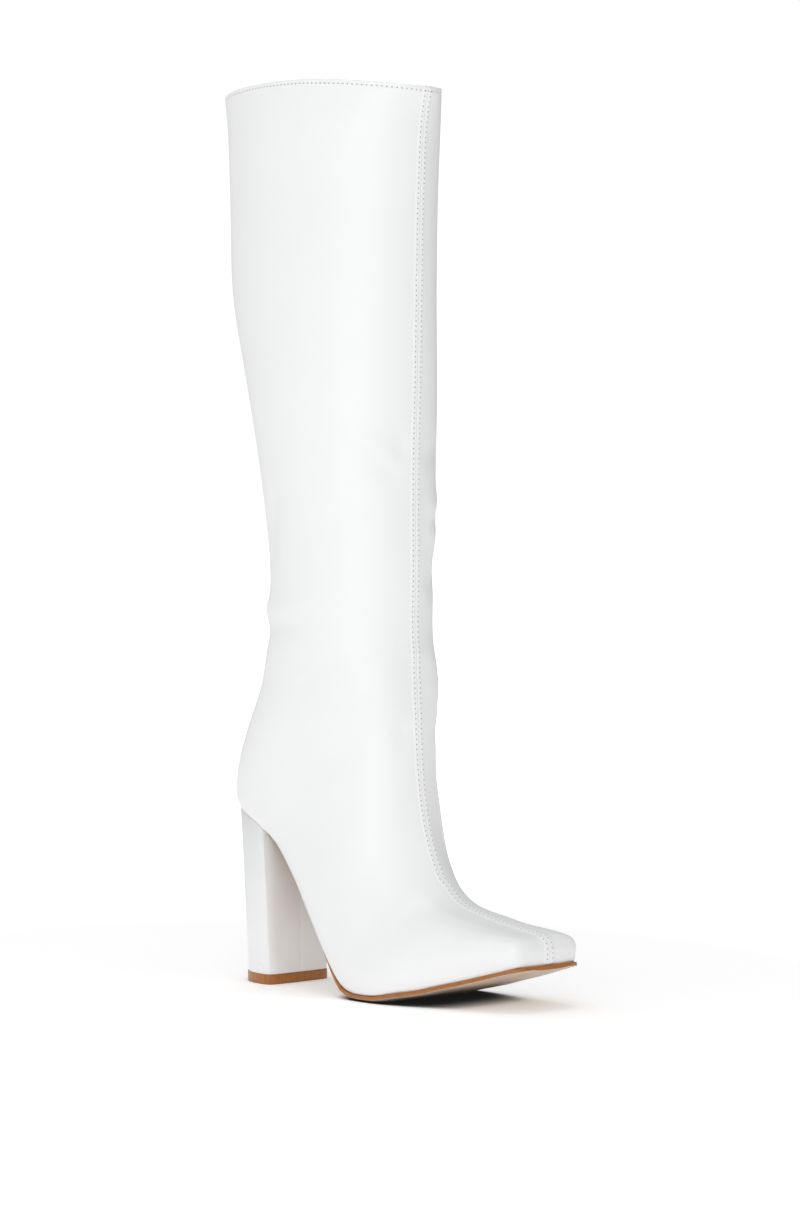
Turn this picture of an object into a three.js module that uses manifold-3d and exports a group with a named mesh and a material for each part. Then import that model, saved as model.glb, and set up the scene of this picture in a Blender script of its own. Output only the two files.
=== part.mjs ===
// Knee-high boot on a covered block heel, made for the right foot.
// Millimetres, +Z up. The origin is the centre of the heel's face on the floor, +X points to the
// toe and +Y to the inner side of the foot.
//
// The boot is built as a maker builds it. A closed form stands for the last and the leg. The upper
// is the skin of that form, open along the sole line and at the collar. The insole closes it from
// inside, the outsole runs under it from the heel breast to the toe, and the block heel and its
// top piece carry the seat.

import * as THREE from 'three';
import { mergeVertices } from 'three/addons/utils/BufferGeometryUtils.js';
import Module from 'manifold-3d';

const wasm = await Module();
wasm.setup();

// Foot
const footLength = 217;       // back of the seat to the tip of the toe, level with the floor
const heelSet = 19.5;         // back of the seat to the centre of the heel's floor face
const heelHeight = 96;        // floor to the back edge of the seat
const toeSpring = 20.3;       // rise of the sole at the tip of the toe
const ballWidth = 83;         // upper across the ball
const ballHeight = 66;        // sole to vamp at the ball, along the section
const longHeel = 137;         // back corner of the seat to the instep
const ankleWidth = 80;        // upper across the ankle and the instep
const footTurn = 4;           // how far the toe turns to the inner side

// Shaft
const ankleRise = 90;         // seat to the narrowest part of the shaft
const shaftRise = 301;        // narrowest part to the collar's highest edge
const ankleDepth = 98.5;      // front to back at the narrowest part
const collarDepth = 152;      // front to back at the collar
const calfWidth = 93;         // side to side at the calf
const collarFrontDip = 6;     // how far the collar falls to its front seam
const collarBackDip = 3.5;    // how far it falls to its back seam

// Leather, board and rubber
const wall = 1.8;             // upper with its lining
const seamBand = 3.4;         // half width of the stitched band along the front seam
const seamRise = 0.7;         // height of that band over the upper
const seamGroove = 0.9;       // half width of the groove between its two edges
const insoleThickness = 3;
const soleThickness = 3.6;    // outsole in the middle of the ball
const waistThickness = 2.4;   // outsole in the middle of the arch
const toeThickness = 2.3;     // outsole in the middle of the toe
const soleEdgeHeight = 1.4;   // upright edge of the outsole
const soleCrown = 13;         // how far in from the edge the outsole is at its thickest
const soleEdge = 1.3;         // outsole beyond the upper at the forefoot
const waistInset = 3;         // outsole inside the upper at the arch
const treadSink = 0.4;        // rubber trimmed flat where the ball meets the floor

// Block heel
const heelFaceDepth = 33;
const heelFaceWidth = 45;
const heelBreastSlope = 1;    // how far the breast leans to the toe at its top
const heelRim = 0.6;          // heel's rim beyond the upper's seat
const topPieceHeight = 5.5;
const topPieceEdge = 0.4;     // top piece beyond the heel's cover

// Fits
const gap = 0.3;              // between glued pieces
const overrun = 12;           // length of form that is cut away at each opening
const reach = 2 * footLength; // half width of the cutting blocks

const collarHeight = heelHeight + ankleRise + shaftRise;
const ankleHeight = heelHeight + ankleRise;

// The sole line, which is the upper's lower edge seen from the side.
// along: share of footLength from the back of the seat. lift: share of the heel's lift.
// spring: share of toeSpring.
const soleRows = [
  { along: 0.000, lift: 1.000, spring: 0.000 },
  { along: 0.067, lift: 0.973, spring: 0.000 },
  { along: 0.159, lift: 0.892, spring: 0.000 },
  { along: 0.237, lift: 0.741, spring: 0.000 },
  { along: 0.311, lift: 0.537, spring: 0.000 },
  { along: 0.350, lift: 0.402, spring: 0.000 },
  { along: 0.394, lift: 0.260, spring: 0.000 },
  { along: 0.438, lift: 0.127, spring: 0.000 },
  { along: 0.477, lift: 0.041, spring: 0.000 },
  { along: 0.525, lift: 0.002, spring: 0.000 },
  { along: 0.565, lift: 0.000, spring: 0.000 },
  { along: 0.606, lift: 0.000, spring: 0.014 },
  { along: 0.675, lift: 0.000, spring: 0.148 },
  { along: 0.740, lift: 0.000, spring: 0.267 },
  { along: 0.781, lift: 0.000, spring: 0.384 },
  { along: 0.855, lift: 0.000, spring: 0.580 },
  { along: 0.915, lift: 0.000, spring: 0.757 },
  { along: 0.956, lift: 0.000, spring: 0.880 },
  { along: 1.000, lift: 0.000, spring: 1.000 },
];

// Level sections of the shaft, from the collar to the ankle.
// up: share of shaftRise. front: share of footLength from the back of the seat to the front seam.
// flare: 0 is ankleDepth, 1 is collarDepth. across: share of calfWidth.
// frontEnd and backEnd: 2 is a round end, less is a sharper one and more a blunter one.
const shaftRows = [
  { up: 1.000, front: 0.629, flare: 1.000, across: 0.860, frontEnd: 1.75, backEnd: 1.8, steps: 2 },
  { up: 0.944, front: 0.611, flare: 0.813, across: 0.970, frontEnd: 1.75, backEnd: 1.8, steps: 3 },
  { up: 0.794, front: 0.594, flare: 0.664, across: 1.000, frontEnd: 1.75, backEnd: 1.8, steps: 3 },
  { up: 0.628, front: 0.588, flare: 0.589, across: 1.000, frontEnd: 1.75, backEnd: 1.8, steps: 3 },
  { up: 0.452, front: 0.582, flare: 0.308, across: 1.000, frontEnd: 1.75, backEnd: 1.8, steps: 3 },
  { up: 0.296, front: 0.576, flare: 0.075, across: 0.950, frontEnd: 1.75, backEnd: 1.9, steps: 3 },
  { up: 0.130, front: 0.576, flare: -0.028, across: 0.885, frontEnd: 1.75, backEnd: 1.9, steps: 3 },
  { up: 0.000, front: 0.576, flare: 0.000, across: 0.885, frontEnd: 1.75, backEnd: 2.0, steps: 2 },
];

// Sections that turn about the ankle while their back end goes down the back of the heel.
// back: share of footLength from the back of the seat. up: share of ankleRise above the seat.
// lean: degrees from upright. tall: share of longHeel. across: share of ankleWidth.
const heelRows = [
  { back: 0.094, up: 0.711, lean: 80.3, tall: 0.777, across: 1.00, frontEnd: 2.15, backEnd: 2.05, steps: 2 },
  { back: 0.050, up: 0.489, lean: 75.3, tall: 0.863, across: 1.00, frontEnd: 2.4, backEnd: 2.05, steps: 2 },
  { back: 0.010, up: 0.267, lean: 71.0, tall: 0.954, across: 0.98, frontEnd: 2.5, backEnd: 2.1, steps: 2 },
  { back: 0.000, up: 0.133, lean: 69.2, tall: 0.984, across: 0.95, frontEnd: 2.5, backEnd: 2.25, steps: 2 },
  { back: 0.003, up: 0.006, lean: 66.7, tall: 0.998, across: 0.92, frontEnd: 2.5, backEnd: 2.4, steps: 2 },
];

// Sections of the foot, each from the sole line up to the instep or the vamp.
// along: share of footLength. tall: share of ballHeight. belly: share of the section's height at
// which it is widest. across: share of ballWidth. turn: share of footTurn.
const footRows = [
  { along: 0.067, lean: 65.5, tall: 1.866, belly: 0.42, across: 0.855, frontEnd: 2.4, backEnd: 2.6, turn: 0.00, steps: 2 },
  { along: 0.159, lean: 61.6, tall: 1.593, belly: 0.40, across: 0.843, frontEnd: 2.25, backEnd: 2.9, turn: 0.00, steps: 2 },
  { along: 0.237, lean: 56.9, tall: 1.385, belly: 0.38, across: 0.855, frontEnd: 2.0, backEnd: 3.4, turn: 0.00, steps: 2 },
  { along: 0.311, lean: 49.4, tall: 1.247, belly: 0.36, across: 0.892, frontEnd: 1.68, backEnd: 3.9, turn: 0.00, steps: 2 },
  { along: 0.376, lean: 41.8, tall: 1.182, belly: 0.34, across: 0.915, frontEnd: 1.34, backEnd: 3.9, turn: 0.00, steps: 2 },
  { along: 0.435, lean: 35.5, tall: 1.142, belly: 0.32, across: 0.945, frontEnd: 1.28, backEnd: 3.6, turn: 0.00, steps: 2 },
  { along: 0.491, lean: 32.5, tall: 1.061, belly: 0.30, across: 0.969, frontEnd: 1.46, backEnd: 3.2, turn: 0.00, steps: 2 },
  { along: 0.541, lean: 32.1, tall: 0.942, belly: 0.28, across: 0.981, frontEnd: 1.86, backEnd: 3.0, turn: 0.00, steps: 2 },
  { along: 0.606, lean: 31.3, tall: 0.818, belly: 0.28, across: 0.969, frontEnd: 2.3, backEnd: 3.0, turn: 0.10, steps: 2 },
  { along: 0.675, lean: 31.7, tall: 0.711, belly: 0.28, across: 0.911, frontEnd: 2.7, backEnd: 3.0, turn: 0.30, steps: 2 },
  { along: 0.749, lean: 33.5, tall: 0.611, belly: 0.28, across: 0.831, frontEnd: 3.1, backEnd: 3.0, turn: 0.50, steps: 2 },
  { along: 0.818, lean: 33, tall: 0.505, belly: 0.30, across: 0.752, frontEnd: 3.6, backEnd: 3.0, turn: 0.70, steps: 2 },
  { along: 0.882, lean: 31, tall: 0.407, belly: 0.32, across: 0.677, frontEnd: 4.0, backEnd: 3.0, turn: 0.85, steps: 2 },
  { along: 0.933, lean: 27, tall: 0.314, belly: 0.34, across: 0.624, frontEnd: 4.2, backEnd: 3.0, turn: 0.95, steps: 2 },
  { along: 0.965, lean: 20, tall: 0.240, belly: 0.36, across: 0.578, frontEnd: 4.2, backEnd: 3.0, turn: 1.00, steps: 2 },
  { along: 0.984, lean: 12, tall: 0.189, belly: 0.38, across: 0.513, frontEnd: 4.0, backEnd: 3.0, turn: 1.00, steps: 1 },
  { along: 0.994, lean: 6, tall: 0.159, belly: 0.40, across: 0.410, frontEnd: 3.6, backEnd: 3.0, turn: 1.00, steps: 1 },
  { along: 1.000, lean: 2, tall: 0.129, belly: 0.42, across: 0.277, frontEnd: 3.2, backEnd: 3.0, turn: 1.00, steps: 1 },
];

// Columns round a section: those of the seam band lie at fixed distances from the front seam, and
// the rest share what is left of the half girth.
const sideColumns = 13;
const bandFoot = 0.8;         // width of the slope from the band down to the upper
const heelSides = 72;
const soleStations = 56;

// Smooth curves through table rows

// Slopes at each knot of a curve through (knots, values), from the chords on both sides.
function knotSlopes(knots, values) {
  const chord = i => (values[i + 1] - values[i]) / (knots[i + 1] - knots[i]);
  return values.map((_, i) => {
    if (i === 0) return chord(0);
    if (i === values.length - 1) return chord(i - 1);
    const before = knots[i] - knots[i - 1];
    const after = knots[i + 1] - knots[i];
    return (chord(i - 1) * after + chord(i) * before) / (before + after);
  });
}

// A function of position that runs smoothly through the values, and straight on past both ends.
function smoothCurve(knots, values) {
  const slopes = knotSlopes(knots, values);
  const last = knots.length - 1;
  return at => {
    if (at <= knots[0]) return values[0] + slopes[0] * (at - knots[0]);
    if (at >= knots[last]) return values[last] + slopes[last] * (at - knots[last]);
    const i = knots.findIndex((knot, k) => k < last && at < knots[k + 1] && at >= knot);
    const span = knots[i + 1] - knots[i];
    const s = (at - knots[i]) / span;
    return (2 * s ** 3 - 3 * s ** 2 + 1) * values[i]
      + (s ** 3 - 2 * s ** 2 + s) * span * slopes[i]
      + (3 * s ** 2 - 2 * s ** 3) * values[i + 1]
      + (s ** 3 - s ** 2) * span * slopes[i + 1];
  };
}

const smoothStep = (from, to, at) => THREE.MathUtils.smoothstep(at, from, to);

const alongFoot = share => share * footLength - heelSet;

const soleBase = soleThickness - treadSink;
const soleLine = smoothCurve(
  soleRows.map(row => alongFoot(row.along)),
  soleRows.map(row => soleBase + row.lift * (heelHeight - soleBase) + row.spring * toeSpring),
);

// The form

// Every section lies in a plane that holds the Y direction. It has its back or lower end, the unit
// direction and the distance to its front or upper end, the distance to its widest place, half its
// width there, its shift to the inner side, and the shape of both ends.
function makeSection({ x, z, lean, length, widest, half, shift, frontEnd, backEnd, steps }) {
  return { x, z, lean: THREE.MathUtils.degToRad(lean), length, widest, half, shift, frontEnd, backEnd, steps };
}

function shaftSection(row) {
  const depth = ankleDepth + row.flare * (collarDepth - ankleDepth);
  return makeSection({
    x: alongFoot(row.front) - depth,
    z: ankleHeight + row.up * shaftRise,
    lean: 90,
    length: depth,
    widest: depth / 2,
    half: row.across * calfWidth / 2,
    shift: 0,
    frontEnd: row.frontEnd,
    backEnd: row.backEnd,
    steps: row.steps,
  });
}

function heelSection(row) {
  return makeSection({
    x: alongFoot(row.back),
    z: heelHeight + row.up * ankleRise,
    lean: row.lean,
    length: row.tall * longHeel,
    widest: row.tall * longHeel / 2,
    half: row.across * ankleWidth / 2,
    shift: 0,
    frontEnd: row.frontEnd,
    backEnd: row.backEnd,
    steps: row.steps,
  });
}

// A foot section starts below the sole line, where the form is cut away later.
function footSection(row) {
  const foot = new THREE.Vector2(alongFoot(row.along), soleLine(alongFoot(row.along)));
  const lean = THREE.MathUtils.degToRad(row.lean);
  const tall = row.tall * ballHeight;
  const top = foot.clone().add(new THREE.Vector2(Math.sin(lean), Math.cos(lean)).multiplyScalar(tall));
  const start = foot.clone().sub(new THREE.Vector2(0, overrun));
  const axis = top.clone().sub(start);
  return makeSection({
    x: start.x,
    z: start.y,
    lean: THREE.MathUtils.radToDeg(Math.atan2(axis.x, axis.y)),
    length: axis.length(),
    widest: axis.length() - (1 - row.belly) * tall,
    half: row.across * ballWidth / 2,
    shift: row.turn * footTurn,
    frontEnd: row.frontEnd,
    backEnd: row.backEnd,
    steps: row.steps,
  });
}

// All sections of the form from above the collar to the tip of the toe, with the table rows
// joined by smooth curves.
function formSections() {
  const collar = shaftSection(shaftRows[0]);
  const rows = [
    { ...collar, z: collar.z + overrun, steps: 1 },
    ...shaftRows.map(shaftSection),
    ...heelRows.map(heelSection),
    ...footRows.map(footSection),
  ];
  const middle = row => [row.x + Math.sin(row.lean) * row.length / 2, row.z + Math.cos(row.lean) * row.length / 2];
  const knots = [0];
  for (let i = 1; i < rows.length; i++) {
    const [x0, z0] = middle(rows[i - 1]);
    const [x1, z1] = middle(rows[i]);
    knots.push(knots[i - 1] + Math.hypot(x1 - x0, z1 - z0));
  }
  const names = Object.keys(collar).filter(name => name !== 'steps');
  const curves = Object.fromEntries(names.map(name => [name, smoothCurve(knots, rows.map(row => row[name]))]));
  const sections = [];
  rows.forEach((row, i) => {
    const copies = i < rows.length - 1 ? row.steps : 1;
    for (let k = 0; k < copies; k++) {
      const at = knots[i] + (copies === 1 ? 0 : (k / copies) * (knots[i + 1] - knots[i]));
      sections.push(Object.fromEntries(names.map(name => [name, curves[name](at)])));
    }
  });
  return sections;
}

// Half of a section as a fine line from its front end to its back end: distance along the axis,
// and distance from the axis.
function halfOutline({ length, widest, half, frontEnd, backEnd }) {
  const fine = 96;
  const outline = [];
  for (let i = 0; i <= fine; i++) {
    const angle = Math.PI * i / fine;
    const inFront = angle <= Math.PI / 2;
    const share = Math.abs(Math.cos(angle));
    const end = inFront ? frontEnd : backEnd;
    const away = half * Math.max(0, 1 - share ** Math.max(2, end)) ** (1 / end);
    const along = inFront ? widest + (length - widest) * share : widest * (1 - share);
    outline.push([along, away]);
  }
  return outline;
}

// Points of that line at the column distances.
function columnPoints(section) {
  const outline = halfOutline(section);
  const run = [0];
  for (let i = 1; i < outline.length; i++) {
    const [a0, b0] = outline[i - 1];
    const [a1, b1] = outline[i];
    run.push(run[i - 1] + Math.hypot(a1 - a0, b1 - b0));
  }
  const total = run[run.length - 1];
  const band = seamBand + bandFoot;
  const distances = [0, seamGroove, seamBand, band];
  for (let k = 1; k <= sideColumns; k++) distances.push(band + (total - band) * k / sideColumns);
  return distances.map(far => {
    const distance = Math.min(far, total);
    const i = Math.min(run.length - 2, Math.max(0, run.findIndex(r => r >= distance) - 1));
    const s = (distance - run[i]) / (run[i + 1] - run[i]);
    return outline[i].map((value, c) => value + s * (outline[i + 1][c] - value));
  });
}

// How far each column of the seam band stands out of the upper.
const bandRise = [0, seamRise, seamRise, 0];

// The form as a closed mesh: rings of columns, with a fan at each end.
function formGeometry() {
  const rings = formSections().map(section => {
    const forward = Math.sin(section.lean);
    const upward = Math.cos(section.lean);
    const place = ([along, away], side) => new THREE.Vector3(
      section.x + forward * along, section.shift + side * away, section.z + upward * along);
    const columns = columnPoints(section);
    const outer = columns.map(column => place(column, -1));
    const inner = columns.slice(1, -1).map(column => place(column, 1)).reverse();
    return [...outer, ...inner];
  });
  const count = rings[0].length;
  const points = rings.flat();
  const faces = [];
  for (let i = 0; i + 1 < rings.length; i++) {
    for (let j = 0; j < count; j++) {
      const a = i * count + j;
      const b = i * count + (j + 1) % count;
      faces.push(a, b, a + count, b, b + count, a + count);
    }
  }
  const closeEnd = (first, flip) => {
    const centre = new THREE.Vector3();
    for (let j = 0; j < count; j++) centre.addScaledVector(points[first + j], 1 / count);
    const middle = points.push(centre) - 1;
    for (let j = 0; j < count; j++) {
      const a = first + j;
      const b = first + (j + 1) % count;
      faces.push(...(flip ? [b, a, middle] : [a, b, middle]));
    }
  };
  closeEnd(0, true);
  closeEnd((rings.length - 1) * count, false);
  const geometry = new THREE.BufferGeometry();
  geometry.setAttribute('position', new THREE.Float32BufferAttribute(points.flatMap(p => [p.x, p.y, p.z]), 3));
  geometry.setIndex(faces);
  geometry.computeVertexNormals();
  geometry.userData = { count, ringCount: rings.length };
  return geometry;
}

// The form grown along its own normals. A negative distance gives the hollow inside it.
// With the band, the front seam stands out as on the finished upper.
function grown(form, distance, withBand = false) {
  const { count, ringCount } = form.userData;
  const position = form.getAttribute('position');
  const normal = form.getAttribute('normal');
  const points = new Float32Array(position.count * 3);
  for (let i = 0; i < position.count; i++) {
    const column = i < count * ringCount ? i % count : bandRise.length;
    const fromSeam = Math.min(column, count - column);
    const rise = withBand && fromSeam < bandRise.length ? bandRise[fromSeam] : 0;
    const out = new THREE.Vector3().fromBufferAttribute(normal, i).multiplyScalar(distance + rise);
    new THREE.Vector3().fromBufferAttribute(position, i).add(out).toArray(points, i * 3);
  }
  const geometry = new THREE.BufferGeometry();
  geometry.setAttribute('position', new THREE.BufferAttribute(points, 3));
  geometry.setIndex(form.getIndex().clone());
  return geometry;
}

// Solids

function toSolid(geometry) {
  const bare = geometry.clone();
  bare.deleteAttribute('normal');
  bare.deleteAttribute('uv');
  const merged = mergeVertices(bare, 1e-4);
  return new wasm.Manifold(new wasm.Mesh({
    numProp: 3,
    vertProperties: new Float32Array(merged.getAttribute('position').array),
    triVerts: new Uint32Array(merged.getIndex().array),
  }));
}

function toGeometry(solid) {
  const made = solid.getMesh();
  const geometry = new THREE.BufferGeometry();
  geometry.setAttribute('position', new THREE.BufferAttribute(new Float32Array(made.vertProperties), 3));
  geometry.setIndex(new THREE.BufferAttribute(new Uint32Array(made.triVerts), 1));
  return geometry;
}

// A side view outline, given as [x, z] points, drawn out across the whole boot.
function acrossBoot(outline) {
  const shape = new THREE.Shape(outline.map(([x, z]) => new THREE.Vector2(x, z)));
  const geometry = new THREE.ExtrudeGeometry(shape, { depth: 2 * reach, bevelEnabled: false });
  geometry.rotateX(Math.PI / 2);
  geometry.translate(0, reach, 0);
  return toSolid(geometry);
}

const soleStart = alongFoot(0) - 2 * overrun;
const soleEnd = alongFoot(1) + 2 * overrun;

// Points of the sole line moved up by a distance, from behind the seat to before the toe.
function soleLinePoints(rise) {
  const points = [];
  for (let i = 0; i <= soleStations; i++) {
    const x = THREE.MathUtils.lerp(soleStart, soleEnd, i / soleStations);
    points.push([x, soleLine(x) + rise]);
  }
  return points;
}

const underSoleLine = rise => acrossBoot([[soleStart, -reach], [soleEnd, -reach], ...soleLinePoints(rise).reverse()]);
const overSoleLine = rise => acrossBoot([...soleLinePoints(rise), [soleEnd, collarHeight + reach], [soleStart, collarHeight + reach]]);

// What lies over the collar, whose edge falls to the front and back seams.
function overCollar() {
  const steps = 16;
  const front = alongFoot(shaftRows[0].front);
  const middle = front - collarDepth / 2;
  const edge = [];
  for (let i = 0; i <= steps; i++) {
    const share = THREE.MathUtils.lerp(-1.2, 1.2, i / steps);
    const dip = share > 0 ? collarFrontDip : collarBackDip;
    edge.push([middle + share * collarDepth / 2, collarHeight - dip * share ** 2]);
  }
  const high = collarHeight + reach;
  return acrossBoot([...edge, [edge[steps][0], high], [edge[0][0], high]]);
}

const form = formGeometry();

// Upper: one skin with the stitched band along its front seam.
function makeUpper() {
  return toSolid(grown(form, 0, true))
    .subtract(toSolid(grown(form, -wall)))
    .subtract(overCollar())
    .subtract(underSoleLine(0));
}

// Insole: fills the foot of the hollow, level with the upper's lower edge.
function makeInsole() {
  return toSolid(grown(form, -wall - gap))
    .subtract(underSoleLine(0))
    .subtract(overSoleLine(insoleThickness));
}

// Distance from the form's inside to its skin, along a level direction.
const formMesh = new THREE.Mesh(form, new THREE.MeshBasicMaterial({ side: THREE.DoubleSide }));
formMesh.updateMatrixWorld();
function skinDistance(x, y, z, direction) {
  const ray = new THREE.Raycaster(new THREE.Vector3(x, y, z), direction);
  const hits = ray.intersectObject(formMesh);
  return hits.length ? hits[hits.length - 1].distance : 0;
}

const lookIn = 0.6;           // height over the sole line at which the feather edge is measured

// 0 along the arch and 1 from the ball to the toe.
const treadShare = x => smoothStep(alongFoot(0.33), alongFoot(0.52), x);

// Thickness of the outsole in its middle, which thins out before and behind the ball.
function outsoleThickness(x) {
  const behindToe = THREE.MathUtils.lerp(waistThickness, soleThickness, treadShare(x));
  return THREE.MathUtils.lerp(behindToe, toeThickness, smoothStep(alongFoot(0.61), alongFoot(0.78), x));
}

const breastFoot = heelFaceDepth / 2;
const breastTop = breastFoot + heelBreastSlope;

// Plan outline of the feather edge from the heel breast round the toe: outer and inner side.
function featherStations() {
  const from = breastTop;
  const tip = alongFoot(1);
  const stations = [];
  for (let i = 0; i <= soleStations; i++) {
    const share = Math.sin(Math.PI / 2 * i / soleStations);
    const x = THREE.MathUtils.lerp(from, tip - 0.05, share);
    const z = soleLine(x) + lookIn;
    const centre = footTurn * THREE.MathUtils.smoothstep(x, alongFoot(0.5), tip);
    const outer = centre - skinDistance(x, centre, z, new THREE.Vector3(0, -1, 0));
    const inner = centre + skinDistance(x, centre, z, new THREE.Vector3(0, 1, 0));
    stations.push({ x, outer, inner });
  }
  return stations;
}

// Moves the points of an open outline to its left by a distance that depends on x.
function offsetOutline(points, distance) {
  return points.map(([x, y], i) => {
    const [x0, y0] = points[Math.max(0, i - 1)];
    const [x1, y1] = points[Math.min(points.length - 1, i + 1)];
    const run = Math.hypot(x1 - x0, y1 - y0);
    const far = distance(x);
    return [x - far * (y1 - y0) / run, y + far * (x1 - x0) / run];
  });
}

// Outsole: a strip of sections across the foot, each with a flat top, an upright edge and a low
// crown below, trimmed flat by the floor.
function makeOutsole() {
  const stations = featherStations();
  const edge = x => THREE.MathUtils.lerp(-waistInset, soleEdge, treadShare(x));
  const outer = offsetOutline(stations.map(s => [s.x, s.outer]), x => -edge(x));
  const inner = offsetOutline(stations.map(s => [s.x, s.inner]), edge);
  const sections = stations.map((_, i) => {
    const half = (inner[i][1] - outer[i][1]) / 2;
    const section = [];
    for (const [[x, y], side] of [[outer[i], -1], [inner[i], 1]]) {
      const thick = outsoleThickness(x);
      const slope = (soleLine(x + 1) - soleLine(x - 1)) / 2;
      const run = Math.hypot(1, slope);
      const below = (depth, inset) => new THREE.Vector3(
        x + depth * slope / run, y - side * inset, soleLine(x) - depth / run);
      const crown = Math.min(soleCrown, half / 2);
      section.push([
        below(gap, 0),
        below(gap + soleEdgeHeight, 0),
        below(THREE.MathUtils.lerp(gap + soleEdgeHeight, thick, 0.6), crown / 3),
        below(thick, crown),
      ]);
    }
    return [...section[0], ...section[1].reverse()];
  });
  const count = sections[0].length;
  const faces = [];
  for (let i = 0; i + 1 < sections.length; i++) {
    for (let j = 0; j < count; j++) {
      const a = i * count + j;
      const b = i * count + (j + 1) % count;
      faces.push(a, b, a + count, b, b + count, a + count);
    }
  }
  const last = (sections.length - 1) * count;
  for (let j = 1; j + 1 < count; j++) {
    faces.push(0, j + 1, j);
    faces.push(last, last + j, last + j + 1);
  }
  const geometry = new THREE.BufferGeometry();
  geometry.setAttribute('position', new THREE.Float32BufferAttribute(sections.flat().flatMap(p => [p.x, p.y, p.z]), 3));
  geometry.setIndex(faces);
  const floor = acrossBoot([[-reach, -reach], [reach, -reach], [reach, 0], [-reach, 0]]);
  const breast = acrossBoot([[-reach, 0], [breastTop + gap, 0], [breastTop + gap, reach], [-reach, reach]]);
  return toSolid(geometry).subtract(floor).subtract(breast);
}

// The heel's plan outline is a D: its breast is flat and wide, and the rest is half an ellipse.
const heelBackEnd = 2.1;      // roundness of the back
const heelCornerEnd = 9;      // the larger, the sharper the breast's two corners

// Distance from the heel's axis to the smaller of two borders, with their corner rounded.
function blend(a, b) {
  return (a ** -heelCornerEnd + b ** -heelCornerEnd) ** (-1 / heelCornerEnd);
}

// Where the half ellipse lies in one direction from the heel's axis, found by halving.
function heelFaceRadius(angle) {
  const ahead = Math.cos(angle);
  const aside = Math.abs(Math.sin(angle));
  let near = 0;
  let far = heelFaceDepth + heelFaceWidth;
  for (let pass = 0; pass < 30; pass++) {
    const radius = (near + far) / 2;
    const behind = Math.max(0, breastFoot - radius * ahead) / heelFaceDepth;
    const out = behind ** heelBackEnd + (radius * aside * 2 / heelFaceWidth) ** heelBackEnd;
    if (out < 1) near = radius;
    else far = radius;
  }
  return ahead > 0 ? blend(near, breastFoot / Math.max(ahead, 1e-3)) : near;
}

// Where the heel's rim lies under the seat in one direction, and how high.
function heelRimPoint(angle) {
  const direction = new THREE.Vector3(Math.cos(angle), Math.sin(angle), 0);
  let radius = heelFaceWidth / 2;
  for (let pass = 0; pass < 3; pass++) {
    const z = soleLine(radius * direction.x) + lookIn;
    radius = skinDistance(0, 0, z, direction) + heelRim;
    if (direction.x > 0) radius = blend(radius, breastTop / Math.max(direction.x, 1e-3));
  }
  return { radius, z: soleLine(radius * direction.x) };
}

// A ring of points between the heel's floor face and its rim, as a closed solid.
function heelBlock() {
  const points = [];
  for (let k = 0; k < heelSides; k++) {
    const angle = 2 * Math.PI * k / heelSides;
    const rim = heelRimPoint(angle);
    const over = (rim.z + overrun / 2 - topPieceHeight) / (rim.z - topPieceHeight);
    const low = heelFaceRadius(angle);
    const high = low + (rim.radius - low) * over;
    points.push(new THREE.Vector3(low * Math.cos(angle), low * Math.sin(angle), topPieceHeight));
    points.push(new THREE.Vector3(high * Math.cos(angle), high * Math.sin(angle), rim.z + overrun / 2));
  }
  const lowCentre = points.push(new THREE.Vector3(0, 0, topPieceHeight)) - 1;
  const highCentre = points.push(new THREE.Vector3(0, 0, soleLine(0) + overrun / 2)) - 1;
  const faces = [];
  for (let k = 0; k < heelSides; k++) {
    const a = 2 * k;
    const b = 2 * ((k + 1) % heelSides);
    faces.push(a, b, a + 1, b, b + 1, a + 1, b, a, lowCentre, a + 1, b + 1, highCentre);
  }
  const geometry = new THREE.BufferGeometry();
  geometry.setAttribute('position', new THREE.Float32BufferAttribute(points.flatMap(p => [p.x, p.y, p.z]), 3));
  geometry.setIndex(faces);
  return toSolid(geometry);
}

const makeHeel = () => heelBlock().subtract(overSoleLine(-gap));

// Top piece: the plate that the heel walks on.
function makeTopPiece() {
  const outline = [];
  for (let k = 0; k < heelSides; k++) {
    const angle = 2 * Math.PI * k / heelSides;
    const radius = heelFaceRadius(angle) + topPieceEdge;
    outline.push(new THREE.Vector2(radius * Math.cos(angle), radius * Math.sin(angle)));
  }
  return new THREE.ExtrudeGeometry(new THREE.Shape(outline), { depth: topPieceHeight, bevelEnabled: false });
}

// Colours
const leather = new THREE.MeshStandardMaterial({ color: 0xf0f0ef, roughness: 0.35, metalness: 0 });
const heelCover = new THREE.MeshStandardMaterial({ color: 0xeeeeed, roughness: 0.3, metalness: 0 });
const soleRubber = new THREE.MeshStandardMaterial({ color: 0xd9c8b8, roughness: 0.6, metalness: 0 });
const insoleLining = new THREE.MeshStandardMaterial({ color: 0xe9e2d8, roughness: 0.8, metalness: 0 });
const topPieceRubber = new THREE.MeshStandardMaterial({ color: 0x9a6430, roughness: 0.45, metalness: 0 });

function named(name, geometry, material) {
  const mesh = new THREE.Mesh(geometry, material);
  mesh.name = name;
  return mesh;
}

const boot = new THREE.Group();
boot.add(
  named('upper', toGeometry(makeUpper()), leather),
  named('insole', toGeometry(makeInsole()), insoleLining),
  named('outsole', toGeometry(makeOutsole()), soleRubber),
  named('heel', toGeometry(makeHeel()), heelCover),
  named('top_piece', makeTopPiece(), topPieceRubber),
);

export default boot;
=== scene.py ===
# %% [markdown]
# # A white knee-high boot with a covered block heel
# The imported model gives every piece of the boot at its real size. This lesson dresses it: the
# upper becomes a fine leather sheet with its folds, seam and stitches, and the heel, the top piece
# and the outsole get their real edges and finishes. Everything is in metres, +Z up, with the toe
# along +X, the outer side of the foot along -Y and the origin under the middle of the heel.

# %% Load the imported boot
import math

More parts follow.
